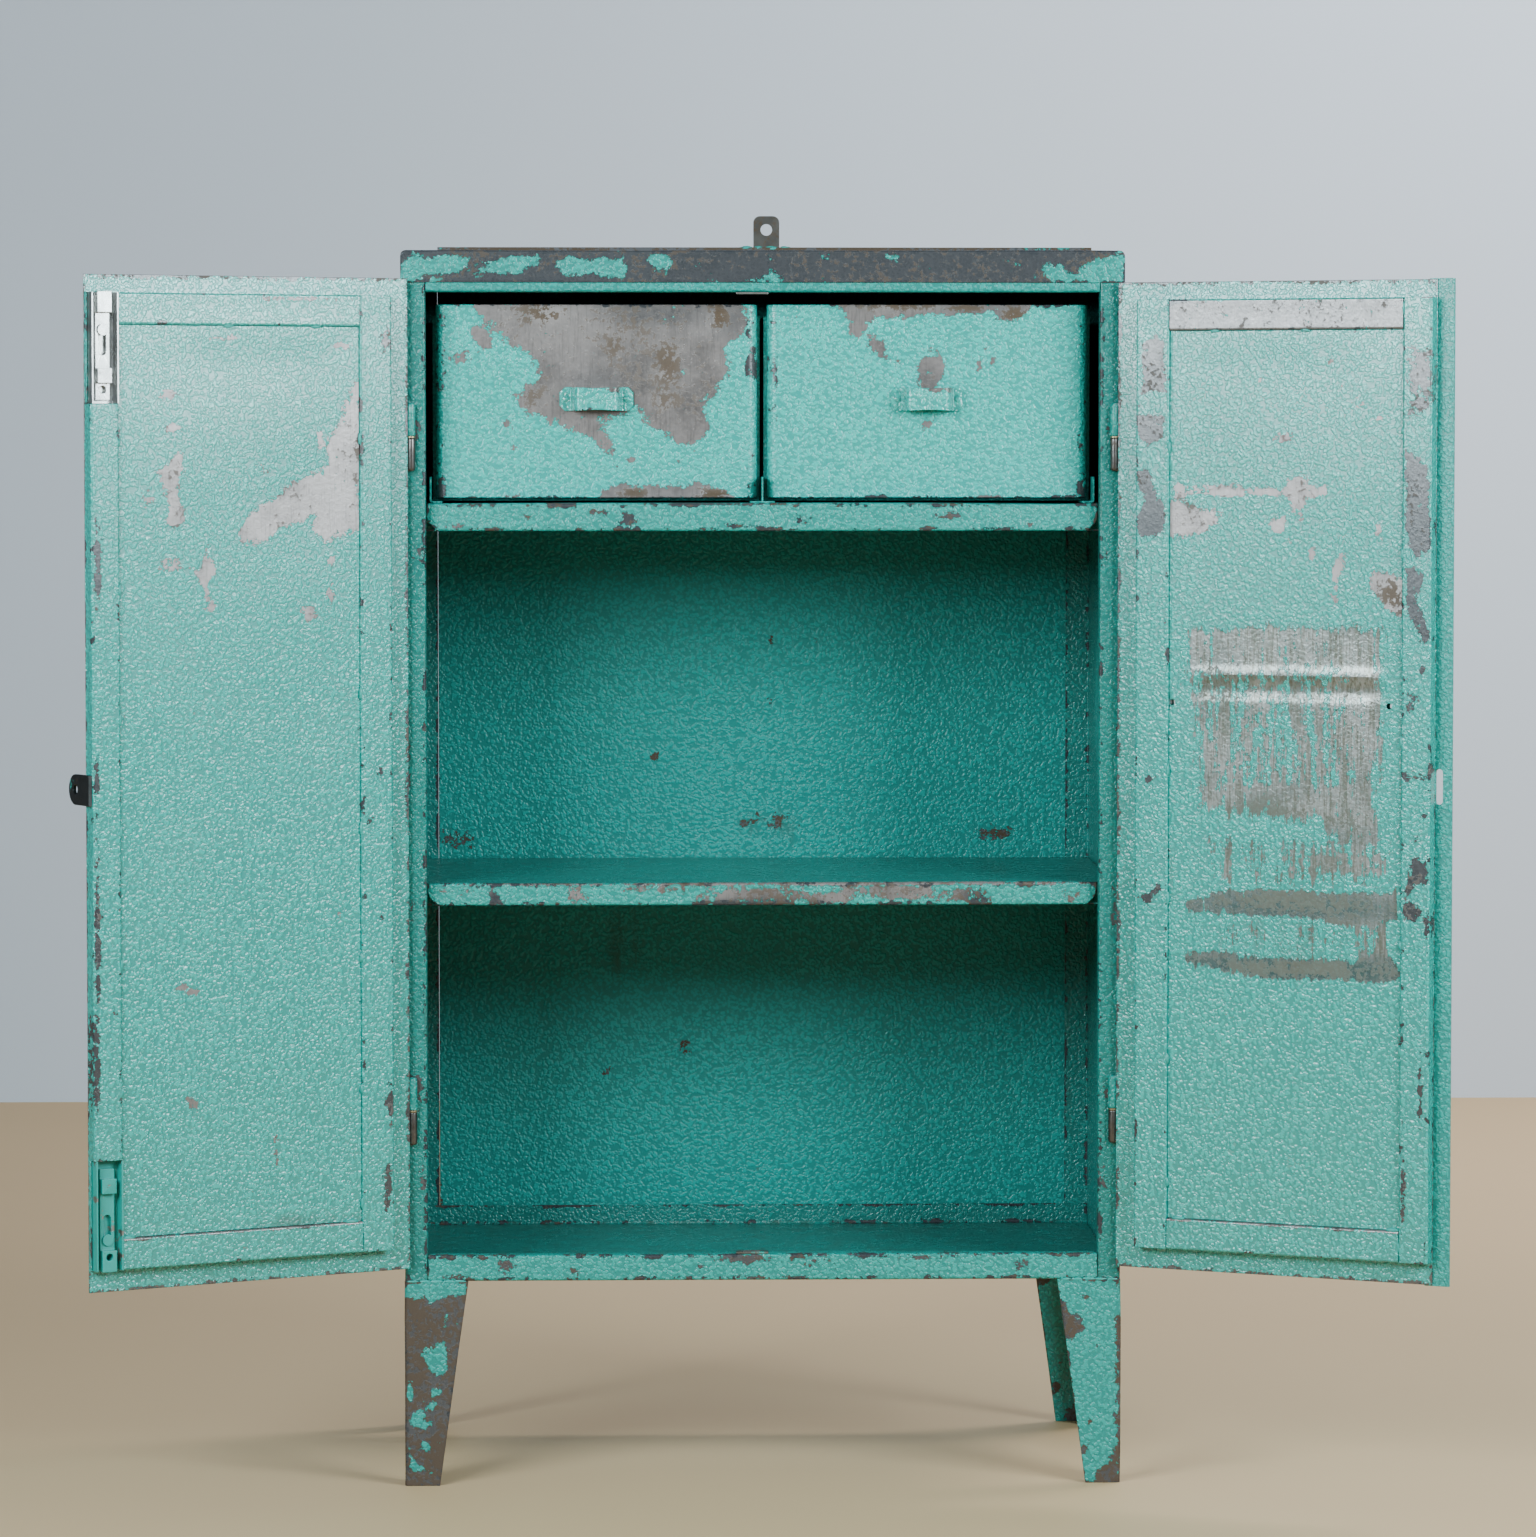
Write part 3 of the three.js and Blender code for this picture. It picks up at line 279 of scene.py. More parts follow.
def hammered_enamel(name, colour, finish, gloss=0.30, chips=0.30, coat=0.3, sheen=0.5):
    """Hammered enamel over steel: dimples with painted shade in their valleys, chipped by the wear the piece
    carries, darkened further by painted shade where its deep map is set.
    """
    s = Shader(name)
    scale = finish.grain
    bend = s.add("ShaderNodeTexNoise", {}, {"Vector": s.place, "Scale": scale * 0.5, "Detail": 2.0}, "Color")
    drift = s.add("ShaderNodeVectorMath", {"operation": "SCALE"}, {"Vector": bend, "Scale": 1.6 / scale})
    warped = s.add("ShaderNodeVectorMath", {"operation": "ADD"}, {0: s.place, 1: drift})
    cells = s.add(
        "ShaderNodeTexVoronoi",
        {"feature": "SMOOTH_F1"},
        {"Vector": warped, "Scale": scale, "Smoothness": 0.45, "Randomness": 1.0},
        "Distance",
    )
    ripple = s.noise(scale * 0.7, 3.0, 0.6)
    valley = (cells + (ripple - 0.5) * 0.7).step(0.28, 0.68)
    cloud = s.noise(6.0, 3.0)
    fleck = s.noise(scale * 2.6, 2.0, 0.6)
    # The valleys of the dimples are painted darker: the hammer pattern of the enamel, with painted shade in
    # its hollows.
    paint = s.mix(valley * 0.60, shade(colour, 1.08), shade(colour, 0.42))
    paint = s.mix(cloud.step(0.35, 0.75) * 0.25, paint, shade(colour, 0.80))
    paint = s.mix(fleck.step(0.58, 0.80) * 0.25, paint, shade(colour, 1.5))

    # deep is no wear: it carries painted shade for recessed and inward faces.
    bare, edge, dark, rust, grime, streak, deep = (s.worn(key) for key in WEAR_AND_SHADE_MAPS)
    coarse = s.noise(42.0, 7.0, 0.66, warp=0.3)
    flake = s.noise(150.0, 5.0, 0.62, shift=(1.0, 4.0, 2.0))
    fine = s.noise(420.0, 3.0, 0.6)
    jag = (coarse - 0.5) * 1.8 + (flake - 0.5) * 1.7 + (fine - 0.5) * 0.9
    patch = (bare + jag * bare.step(0.0, 0.22)).step(0.49, 0.53)
    brushed = s.noise(170.0, 5.0, 0.70, stretch=(1.0, 1.0, 0.09))
    rubbed = (streak + ((brushed - 0.5) * 2.3 + (flake - 0.5) * 1.2) * streak.step(0.0, 0.2)).step(0.50, 0.60)
    crumble = ((coarse - 0.5) * 2.2 + (flake - 0.5) * 1.3) * edge.step(0.0, 0.3)
    nick = (edge * chips + crumble).step(0.56, 0.61)
    pinhole = (s.noise(85.0, 3.0, 0.55, shift=(3.1, 1.7, 0.4)) + (fine - 0.5) * 0.3).step(0.76, 0.79)
    gone = patch.maximum(nick).maximum(rubbed * 0.88).maximum(pinhole * (chips * 1.6))

    blotch = s.noise(20.0, 6.0, 0.62, shift=(5.0, 2.0, 1.0))
    metal = s.mix(blotch.step(0.40, 0.66), finish.bare, shade(finish.bare, 0.60))
    scratch = s.noise(520.0, 4.0, 0.70, stretch=(1.0, 1.0, 0.07), shift=(0.0, 3.0, 0.0))
    scored = (brushed * 0.5 + scratch * 0.5).step(0.46, 0.60) * streak.step(0.1, 0.4)
    metal = s.mix(scratch.step(0.50, 0.66) * 0.50, metal, shade(finish.bare, 0.45))
    metal = s.mix(scored * 0.80, metal, shade(finish.rust, 1.3))
    darkness = (dark + nick * 0.9).minimum(1.0)
    metal = s.mix(darkness, metal, finish.dark)
    spots = (s.noise(210.0, 5.0, 0.66) + (blotch - 0.5) * 0.7 + rust * 0.26).step(0.61, 0.67)
    pale = s.mix(fleck, shade(finish.rust, 0.6), shade(finish.rust, 1.3))
    metal = s.mix(spots * (rust * 0.5 + 0.50), metal, pale)
    runs = s.noise(55.0, 5.0, 0.62, stretch=(1.0, 1.0, 0.16))
    # Painted shade: where deep is set the enamel turns darker, most in the dimples' valleys.
    paint = s.mix(deep, paint, s.mix(valley * 0.5, shade(colour, 0.55), shade(colour, 0.25)))
    film = (grime + (runs - 0.5) * 1.3 * grime.step(0.0, 0.2)).step(0.40, 0.95) * 0.5
    paint = s.mix(film, paint, shade(finish.rust, 0.7))
    gloss_here = (s.noise(14.0, 4.0) - 0.5) * 0.12 + gone * 0.10 + film * 0.25
    gloss_here = gloss_here + spots * gone * 0.4 + valley * 0.05
    rough = gloss_here + gloss - darkness * gone * 0.10
    hammer = s.bump((1.0 - valley) * (1.0 - gone) + ripple * 0.25, 0.60, 0.00085)
    crust = s.bump(spots * gone * 0.5 - gone + fine * 0.10, 0.80, 0.00035, hammer)
    s.shine(
        Base_Color=s.mix(gone, paint, metal),
        Roughness=rough,
        Metallic=gone * (1.0 - spots * 0.9) * (0.60 - rust * 0.40) * (1.0 - darkness * 0.7),
        Normal=crust,
        Coat_Weight=(1.0 - gone) * (1.0 - film) * coat,
    )
    s.shine(Specular_IOR_Level=sheen, Coat_Roughness=0.20)
    return s.material


def worn_steel(name, colour, finish, gloss=0.38, rusted=0.4, painted=0.0):
    """Bare steel with rust in its pits and scraps of old enamel."""
    s = Shader(name)
    blotch = s.noise(55.0, 5.0, 0.6)
    scratch = s.noise(420.0, 2.0, 0.5, stretch=(1.0, 1.0, 0.12))
    pits = s.noise(190.0, 4.0, 0.65)
    metal = s.mix(blotch.step(0.35, 0.75), colour, shade(colour, 0.6))
    spots = (pits + (blotch - 0.5) * 0.5).step(0.74 - rusted * 0.3, 0.90 - rusted * 0.3)
    metal = s.mix(spots * 0.8, metal, finish.rust)
    scraps = (s.noise(65.0, 4.0, 0.6, shift=(2.0, 7.0, 1.0)) + painted * 0.5).step(0.74, 0.78)
    metal = s.mix(scraps, metal, finish.case)
    height = pits * -0.4 + scratch * 0.2 + scraps * 0.5
    s.shine(
        Base_Color=metal,
        Roughness=spots * 0.3 + (scratch - 0.5) * 0.15 + gloss,
        Metallic=(1.0 - scraps) * (0.92 - spots * 0.5),
        Normal=s.bump(height, 0.5, 0.0003),
    )
    return s.material


def plain_stage(name, colour, roughness):
    """Matt stage surface with a faint mottle."""
    s = Shader(name)
    mottle = s.noise(1.3, 4.0, 0.5)
    s.shine(Base_Color=s.mix(mottle, shade(colour, 0.96), shade(colour, 1.04)), Roughness=roughness)
    s.shine(Specular_IOR_Level=0.2)
    return s.material


# ---- Surfaces --------------------------------------------------------------------------------


def stations(low, high, step, fine=0.0004):
    """Even steps from low to high, with close ones at both ends where an edge is eased and chipped."""
    count = max(int(round((high - low) / step)), 1)
    inner = np.linspace(low, high, count + 1)[1:-1]
    near = np.array([0.0, fine, 0.0015, 0.0035])
    near = near[near < (high - low) / 2]
    inner = inner[(inner > low + 0.005) & (inner < high - 0.005)]
    return np.concatenate([low + near, inner, high - near[::-1]])


def rounded(points, radius, steps=FOLD_STEPS):
    """Path whose inner corners become arcs tangent to both sides. Returns points and where folds are."""
    points = [np.array(p, float) for p in points]
    path, folds = [points[0]], [0.0]
    for before, corner, after in zip(points, points[1:], points[2:]):
        a = (before - corner) / np.linalg.norm(before - corner)
        b = (after - corner) / np.linalg.norm(after - corner)
        half = math.acos(float(np.clip(a @ b, -1, 1))) / 2
        centre = corner + (a + b) / np.linalg.norm(a + b) * radius / math.sin(half)
        start = corner + a * radius / math.tan(half) - centre
        end = corner + b * radius / math.tan(half) - centre
        turn = math.atan2(start[0] * end[1] - start[1] * end[0], start @ end)
        angles = turn * np.linspace(0, 1, steps + 1)
        cos, sin = np.cos(angles), np.sin(angles)
        arc = np.stack([start[0] * cos - start[1] * sin, start[0] * sin + start[1] * cos], 1) + centre
        path.extend(arc)
        folds.extend([1.0] * (steps + 1))
    path.append(points[-1])
    folds.append(0.0)
    return np.array(path), np.array(folds)


def with_lines(values, lines):
    """Stations with the given lines added and any others closer than 1.5 mm to them dropped."""
    lines = np.array(lines, float)
    if not len(lines):
        return values
    far = np.abs(values[:, None] - lines[None, :]).min(1) > 0.0015
    return np.sort(np.concatenate([values[far], lines]))


def filled_path(points, radius, step, lines=()):
    """Rounded path with its straight runs divided, its right-hand normals, arc length and fold flags."""
    path, folds = rounded(points, radius)
    pieces, flags = [], []
    for i in range(len(path) - 1):
        run = np.linalg.norm(path[i + 1] - path[i])
        if run > step * 1.5 or i in (0, len(path) - 2):
            t = with_lines(stations(0.0, run, step), [line - path[0][0] for line in lines]) / run
        else:
            t = np.array([0.0, 1.0])
        pieces.append(path[i] + (path[i + 1] - path[i]) * t[:-1, None])
        flag = np.zeros(len(t) - 1)
        flag[0] = folds[i]
        flags.append(flag)
    pieces.append(path[-1:])
    flags.append(np.zeros(1))
    path = np.concatenate(pieces)
    flags = np.concatenate(flags)
    ahead = np.diff(path, axis=0)
    ahead /= np.linalg.norm(ahead, axis=1)[:, None]
    arrive = np.vstack([ahead[:1], ahead])
    leave = np.vstack([ahead, ahead[-1:]])
    side = np.stack([(arrive + leave)[:, 1], -(arrive + leave)[:, 0]], 1)
    side /= np.linalg.norm(side, axis=1)[:, None]
    square = side[:, 0] * arrive[:, 1] - side[:, 1] * arrive[:, 0]
    length = np.concatenate([[0.0], np.cumsum(np.linalg.norm(np.diff(path, axis=0), axis=1))])
    return path, side / np.maximum(square, 0.3)[:, None], length, flags


def bow(points, seed, amount):
    """Sum of a few long sine waves over space: how far an old sheet stands out of flat."""
    random = np.random.default_rng(seed)
    total = np.zeros(points.shape[:-1])
    for wave in (0.45, 0.28, 0.17, 0.09):
        direction = random.normal(size=3)
        direction /= np.linalg.norm(direction)
        phase = random.uniform(0, 6.28)
        total += np.sin(points @ direction * 2 * math.pi / wave + phase) * (wave / 0.45) ** 0.8
    return total * amount / 1.6


def grid_faces(rows, columns, start=0, closed=False):
    """Quads of a rows x columns grid of points, wrapped round its columns when closed."""
    wide = columns if closed else columns - 1
    r, c = np.meshgrid(np.arange(rows - 1), np.arange(wide), indexing="ij")
    a = start + r * columns + c
    b = start + r * columns + (c + 1) % columns
    return np.stack([a, b, b + columns, a + columns], -1).reshape(-1, 4)


def outward(points, faces):
    """Turns every face over if the closed surface holds a negative volume."""
    a, b, c, d = (points[faces[:, i]] for i in range(4))
    volume = np.einsum("ij,ij->i", a, np.cross(b, c) + np.cross(c, d)).sum()
    return faces[:, ::-1] if volume < 0 else faces


def build(name, points, faces, body, material, replaces, wear):
    """Mesh from arrays, with the maps it carries (wear, and painted shade under deep), its body and its
    finish.
    """
    mesh = bpy.data.meshes.new(name)
    mesh.from_pydata(points.tolist(), [], faces.tolist())
    mesh.polygons.foreach_set("use_smooth", np.ones(len(mesh.polygons), bool))
    mesh.set_sharp_from_angle(angle=math.radians(SMOOTH_ANGLE))
    for key, values in wear.items():
        layer = mesh.attributes.new(key, "FLOAT", "POINT")
        layer.data.foreach_set("value", np.clip(values, 0, 1).astype(np.float32).ravel())
    mesh.materials.append(material)
    mesh.update()
    piece = bpy.data.objects.new(name, mesh)
    bpy.context.scene.collection.objects.link(piece)
    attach(piece, body)
    if replaces:
        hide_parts(*replaces)


def patches(x, z, spots):
    """Largest of several soft ellipses: each is centre, half sizes, tilt in degrees and strength."""
    total = np.zeros(np.shape(x))
    for cx, cz, rx, rz, tilt, strength in spots:
        turn = math.radians(tilt)
        dx, dz = x - cx / 1000, z - cz / 1000
        u = (dx * math.cos(turn) + dz * math.sin(turn)) / (rx / 1000)
        v = (dz * math.cos(turn) - dx * math.sin(turn)) / (rz / 1000)
        total = np.maximum(total, strength * np.clip(1.35 - np.sqrt(u * u + v * v), 0, 1))
    return total


def area(x, z, corners, soft):
    """One inside an outline, nought outside, with a slope as wide as soft: signed distance to its edges."""
    x, z, soft = np.asarray(x) * 1000, np.asarray(z) * 1000, float(soft)
    near = np.full(x.shape, 1e9)
    inside = np.zeros(x.shape, bool)
    for (ax, az), (bx, bz) in zip(corners, corners[1:] + corners[:1]):
        ex, ez = bx - ax, bz - az
        t = np.clip(((x - ax) * ex + (z - az) * ez) / (ex * ex + ez * ez), 0, 1)
        near = np.minimum(near, np.hypot(x - ax - t * ex, z - az - t * ez))
        if ez != 0:
            inside ^= ((az > z) != (bz > z)) & (x < ax + (z - az) * ex / ez)
    return np.clip(0.5 + np.where(inside, near, -near) / soft, 0, 1)


def marks(x, z, areas, spots=()):
    """Strongest of outlined areas (corners, strength, slope) and of small spots."""
    total = patches(x, z, spots)
    for corners, strength, soft in areas:
        total = np.maximum(total, area(x, z, corners, soft) * strength)
    return total


class Sheet:
    """Folded sheet: a path in two coordinates carried along the third, with thickness to its right."""

    def __init__(
        self, path, along, shape, thickness=None, fold=None, seed=1, flatness=1.0, squeeze=None, holes=()
    ):
        thickness = shape.sheet if thickness is None else thickness
        fold = shape.fold if fold is None else fold
        thirds = np.array([-1, -1 / 3, 1 / 3, 1])
        u_lines = [u + radius * third for u, _, radius in holes for third in thirds]
        w_lines = [w + radius * third for _, w, radius in holes[:1] for third in thirds]
        line, side, length, folds = filled_path(path, fold, shape.grid, u_lines)
        w = with_lines(stations(along[0], along[1], shape.grid), w_lines)
        ease_k = np.minimum(length, length[-1] - length)
        ease_m = np.minimum(w - w[0], w[-1] - w)
        ends = np.minimum(ease_m[:, None], ease_k[None, :])
        chamfer = np.where(ends < 0.0002, thickness * 0.22, 0.0)
        near = np.clip(ends / 0.04, 0, 1)
        self.u = np.broadcast_to(line[:, 0], (len(w), len(line)))
        self.v = np.broadcast_to(line[:, 1], (len(w), len(line)))
        self.w = np.broadcast_to(w[:, None], (len(w), len(line)))
        place = np.stack([self.u, self.v, self.w], -1)
        bowed = bow(place, seed, shape.waviness * flatness) * near * near * (3 - 2 * near)
        outer = chamfer + bowed
        inner = thickness - chamfer + bowed
        self.outer = [self.u + side[:, 0] * outer, self.v + side[:, 1] * outer, self.w.copy()]
        self.inner = [self.u + side[:, 0] * inner, self.v + side[:, 1] * inner, self.w.copy()]
        if squeeze is not None:
            self.outer = squeeze(*self.outer)
            self.inner = squeeze(*self.inner)
        gap = np.full(len(length), 1.0)
        if folds.any():
            gap = np.abs(length[:, None] - length[folds > 0][None, :]).min(1)
        near_fold = 0.75 * np.exp(-((gap / 0.0025) ** 2))
        self.edge = np.maximum(np.exp(-((ends / 0.0035) ** 2)), near_fold[None, :])
        self.shape = self.edge.shape
        self.holes = [self.punch(u, w_mid, radius) for u, w_mid, radius in holes]

    def punch(self, u, w, radius):
        """Pulls the square of lines round a hole onto its circle; returns its first row and column."""
        column = int(np.abs(self.outer[0][0] - (u - radius)).argmin())
        row = int(np.abs(self.outer[2][:, 0] - (w - radius)).argmin())
        square = (slice(row, row + 4), slice(column, column + 4))
        for face in (self.outer, self.inner):
            du, dw = face[0][square] - u, face[2][square] - w
            reach = np.hypot(du, dw)
            scale = np.where(reach > radius * 0.9, radius / np.maximum(reach, 1e-9), 1.0)
            face[0][square] = u + du * scale
            face[2][square] = w + dw * scale
        return row, column

    def solid(self, order):
        """Closed surface from both faces and the rim; order says which axis each coordinate is."""
        rows, columns = self.shape
        count = rows * columns
        points = np.empty((2 * count, 3))
        for axis, a, b in zip(order, self.outer, self.inner):
            points[:count, axis] = np.ravel(a)
            points[count:, axis] = np.ravel(b)
        face = grid_faces(rows, columns)
        index = np.arange(count).reshape(rows, columns)
        walls = [index]
        for row, column in self.holes:
            first = face[:, 0]
            r, c = first // columns, first % columns
            face = face[~((r >= row) & (r < row + 3) & (c >= column) & (c < column + 3))]
            walls.append(index[row : row + 4, column : column + 4])
        rims = []
        for number, block in enumerate(walls):
            loop = np.concatenate([block[0], block[1:, -1], block[-1, -2::-1], block[-2:0:-1, 0]])
            if number:
                loop = loop[::-1]
            after = np.roll(loop, -1)
            rims.append(np.stack([loop, loop + count, after + count, after], -1))
        faces = np.concatenate([face, face[:, ::-1] + count, *rims])
        self.used, flat = np.unique(faces, return_inverse=True)
        faces = flat.reshape(faces.shape)
        points = points[self.used]
        return points, outward(points, faces)


def sheet_wear_and_shade(sheet, points, edge=1.0, **chosen):
    """Wear maps of a sheet, with any painted-shade map such as deep, each a function of the built points,
    with the edges of the sheet added.
    """
    two = np.concatenate([sheet.edge.ravel(), sheet.edge.ravel()])[sheet.used]
    return {"edge": two * edge, **{key: wear(points) for key, wear in chosen.items()}}


def case_points(points):
    """From case coordinates (x from the middle, y from the cap's front) to the row frame."""
    return points + np.array([CENTRE_X, FRONT_Y, 0.0])


def turned(axis_x, axis_y, profile, steps=40):
    """Solid of revolution: each profile point of radius and height swept round a vertical line."""
    radius, height = np.array(profile, float).T
    angle = np.linspace(0, 2 * math.pi, steps, endpoint=False)
    x = axis_x + np.outer(radius, np.cos(angle))
    y = axis_y + np.outer(radius, np.sin(angle))
    z = np.repeat(height[:, None], steps, 1)
    points = np.stack([x, y, z], -1).reshape(-1, 3)
    faces = grid_faces(len(radius), steps, closed=True)
    last = (len(radius) - 1) * steps
    bottom, top = len(points), len(points) + 1
    points = np.vstack([points, [axis_x, axis_y, height[0]], [axis_x, axis_y, height[-1]]])
    i = np.arange(steps)
    j = (i + 1) % steps
    low = np.stack([j, i, np.full(steps, bottom), np.full(steps, bottom)], -1)
    high = np.stack([last + i, last + j, np.full(steps, top), np.full(steps, top)], -1)
    return points, faces, low[:, :3], high[:, :3]


def beads(spots, seed):
    """Tack welds: each a squashed sphere with a lumpy radius, long along its own direction."""
    rows, columns = 9, 14
    polar = np.linspace(0.06, math.pi - 0.06, rows)
    around = np.linspace(0, 2 * math.pi, columns, endpoint=False)
    unit = np.stack(
        [
            np.outer(np.sin(polar), np.cos(around)),
            np.outer(np.sin(polar), np.sin(around)),
            np.outer(np.cos(polar), np.ones(columns)),
        ],
        -1,
    ).reshape(-1, 3)
    face = grid_faces(rows, columns, closed=True)
    caps = [list(range(columns)), list(range((rows - 1) * columns, rows * columns))[::-1]]
    random = np.random.default_rng(seed)
    points, faces = [], []
    for centre, size in spots:
        lump = 1 + 0.16 * np.sin(unit @ random.normal(size=3) * 5 + random.uniform(0, 6))
        shift = len(points) * len(unit)
        points.append(unit * lump[:, None] * np.array(size) / 2 + np.array(centre))
        faces.extend((face[:, ::-1] + shift).tolist())
        faces.extend([[i + shift for i in cap[::-1]] for cap in caps])
    return np.concatenate(points), faces


def build_lists(name, points, faces, body, material):
    """Like build, for faces of mixed length that ride on a body and replace nothing."""
    mesh = bpy.data.meshes.new(name)
    mesh.from_pydata(points.tolist(), [], faces)
    mesh.polygons.foreach_set("use_smooth", np.ones(len(mesh.polygons), bool))
    mesh.set_sharp_from_angle(angle=math.radians(BEAD_SMOOTH_ANGLE))
    mesh.materials.append(material)
    piece = bpy.data.objects.new(name, mesh)
    bpy.context.scene.collection.objects.link(piece)
    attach(piece, body)
    return piece


def material_once(name, make):
    """The named material, made the first time it is asked for."""
    return bpy.data.materials.get(name) or make()


def enamel_of(kind):
    """Hammered enamel of one kind of piece."""
    finish = bpy.context.scene.cabinet_finish
    table = {
        "leaf_enamel": (finish.leaf, dict(gloss=0.21, chips=0.42, coat=0.40, sheen=0.95)),
        "case_enamel": (finish.case, dict(gloss=0.26, chips=0.62, coat=0.15, sheen=0.45)),
        # shaded_inside_enamel is the darker copy of the case enamel: painted shade for the surfaces inside
        # the case.
        "shaded_inside_enamel": (finish.inside, dict(gloss=0.32, chips=0.30, coat=0.05, sheen=0.35)),
        "drawer_enamel": (finish.drawer, dict(gloss=0.22, chips=0.50, coat=0.15, sheen=0.55)),
        "handle_enamel": (finish.drawer, dict(gloss=0.18, chips=0.25, coat=0.50, sheen=0.95)),
        "strip_enamel": (finish.leaf, dict(gloss=0.20, chips=0.40, coat=0.40, sheen=0.95)),
        "edge_strip_enamel": (finish.case, dict(gloss=0.28, chips=0.62, coat=0.20)),
    }
    colour, options = table[kind]
    return material_once(kind, lambda: hammered_enamel(kind, colour, finish, **options))


def steel_of(kind):
    """Bare or part-painted steel of one kind of fitting."""
    finish = bpy.context.scene.cabinet_finish
    table = {
        "bolt_steel": ((0.48, 0.48, 0.47), dict(gloss=0.28, rusted=0.22)),
        "painted_bolt_steel": ((0.30, 0.27, 0.25), dict(gloss=0.42, rusted=0.7, painted=0.75)),
        "hinge_steel": ((0.13, 0.12, 0.115), dict(gloss=0.34, rusted=0.6, painted=0.15)),
        "staple_steel": ((0.055, 0.060, 0.062), dict(gloss=0.36, rusted=0.45, painted=0.25)),
        "washer_metal": ((0.42, 0.33, 0.20), dict(gloss=0.40, rusted=0.5)),
        "keeper_steel": ((0.20, 0.19, 0.18), dict(gloss=0.42, rusted=0.7, painted=0.3)),
        "tab_steel": ((0.085, 0.078, 0.070), dict(gloss=0.45, rusted=0.8, painted=0.1)),
        "weld_enamel": ((0.10, 0.33, 0.30), dict(gloss=0.40, rusted=0.3, painted=0.9)),
    }
    colour, options = table[kind]
    return material_once(kind, lambda: worn_steel(kind, colour, finish, **options))


def keep_node(node, material, ease=0.0004):
    """Keeps a CAD node's shape, eases its edges and gives it a finish."""
    piece = frame["nodes"][node]
    piece.data.materials.clear()
    piece.data.materials.append(material)
    weld = piece.modifiers.new("merge", "WELD")
    weld.merge_threshold = 0.00001
    bevel = piece.modifiers.new("ease", "BEVEL")
    bevel.width = ease
    bevel.segments = 2
    bevel.limit_method = "ANGLE"
    bevel.angle_limit = math.radians(35)


# ---- Case ------------------------------------------------------------------------------------


def make_cap(shape):
    """Top sheet folded down in front; its corners fall along an arc, and each end folds down too."""
    low, high = CAP_LOW - [CENTRE_X, FRONT_Y, 0], CAP_HIGH - [CENTRE_X, FRONT_Y, 0]
    corner = CAP_CORNER

    def round_ends(y, z, x):
        past = np.clip(np.abs(x) - (high[0] - corner), 0, corner)
        drop = corner - np.sqrt(np.maximum(corner**2 - past**2, 0))
        share = np.clip((z - low[2]) / (high[2] - low[2]), 0, 1)
        return [y, z - drop * share, x]

    path = [(low[1], low[2]), (low[1], high[2]), (high[1], high[2])]
    sheet = Sheet(path, (low[0], high[0]), shape, seed=3, fold=0.0022, squeeze=round_ends)
    points, faces = sheet.solid((1, 2, 0))

    def bare(p):
        x, z = p[:, 0], p[:, 2]
        enamel = marks(x, z, [
            ([(268, 1189), (282, 1184), (302, 1181), (314, 1191), (331, 1194), (352, 1200), (352, 1166),
              (321, 1158), (282, 1161), (275, 1172)], 1.0, 9),
        ], [
            (-336, 1184, 13, 14, 0, 1.3), (-306, 1186, 24, 9, 0, 1.25), (-244, 1185, 34, 9, 12, 1.3),
            (-182, 1184, 20, 9, 0, 1.3), (-150, 1183, 20, 9, -10, 1.2), (-100, 1189, 12, 9, 0, 1.2),
            (-318, 1170, 9, 6, 0, 1.0), (-12, 1168, 12, 5, 0, 0.9), (9, 1173, 7, 8, 0, 0.9),
            (127, 1193, 6, 4, 0, 0.9), (-343, 1174, 7, 20, 0, 1.1),
        ])
        face = (p[:, 1] < 0.004).astype(float)
        return np.where(face > 0, 1.0 - enamel, 0.60)

    wear = sheet_wear_and_shade(
        sheet, points, bare=bare, dark=lambda p: np.full(len(p), 0.94), rust=lambda p: np.full(len(p), 0.18)
    )
    build(
        "cap_sheet", case_points(points), faces, "case", enamel_of("case_enamel"),
        ["top_cap"], wear,
    )
    for name, side in SIDES.items():
        x = side * high[0]
        path = [(x, low[2]), (x, high[2] - corner)]
        flange = Sheet(path[::-side], (low[1] + 0.002, high[1]), shape, seed=5 + side, flatness=0.4)
        points, faces = flange.solid((0, 2, 1))
        inside = points[:, 0] * side
        points[:, 0] -= side * np.clip(inside - abs(x), 0, None)
        wear = sheet_wear_and_shade(
            flange, points, bare=lambda p: np.full(len(p), 0.55), dark=lambda p: np.full(len(p), 0.7)
        )
        build(
            f"{name}_cap_flange", case_points(points), faces, "case",
            enamel_of("case_enamel"), [], wear,
        )


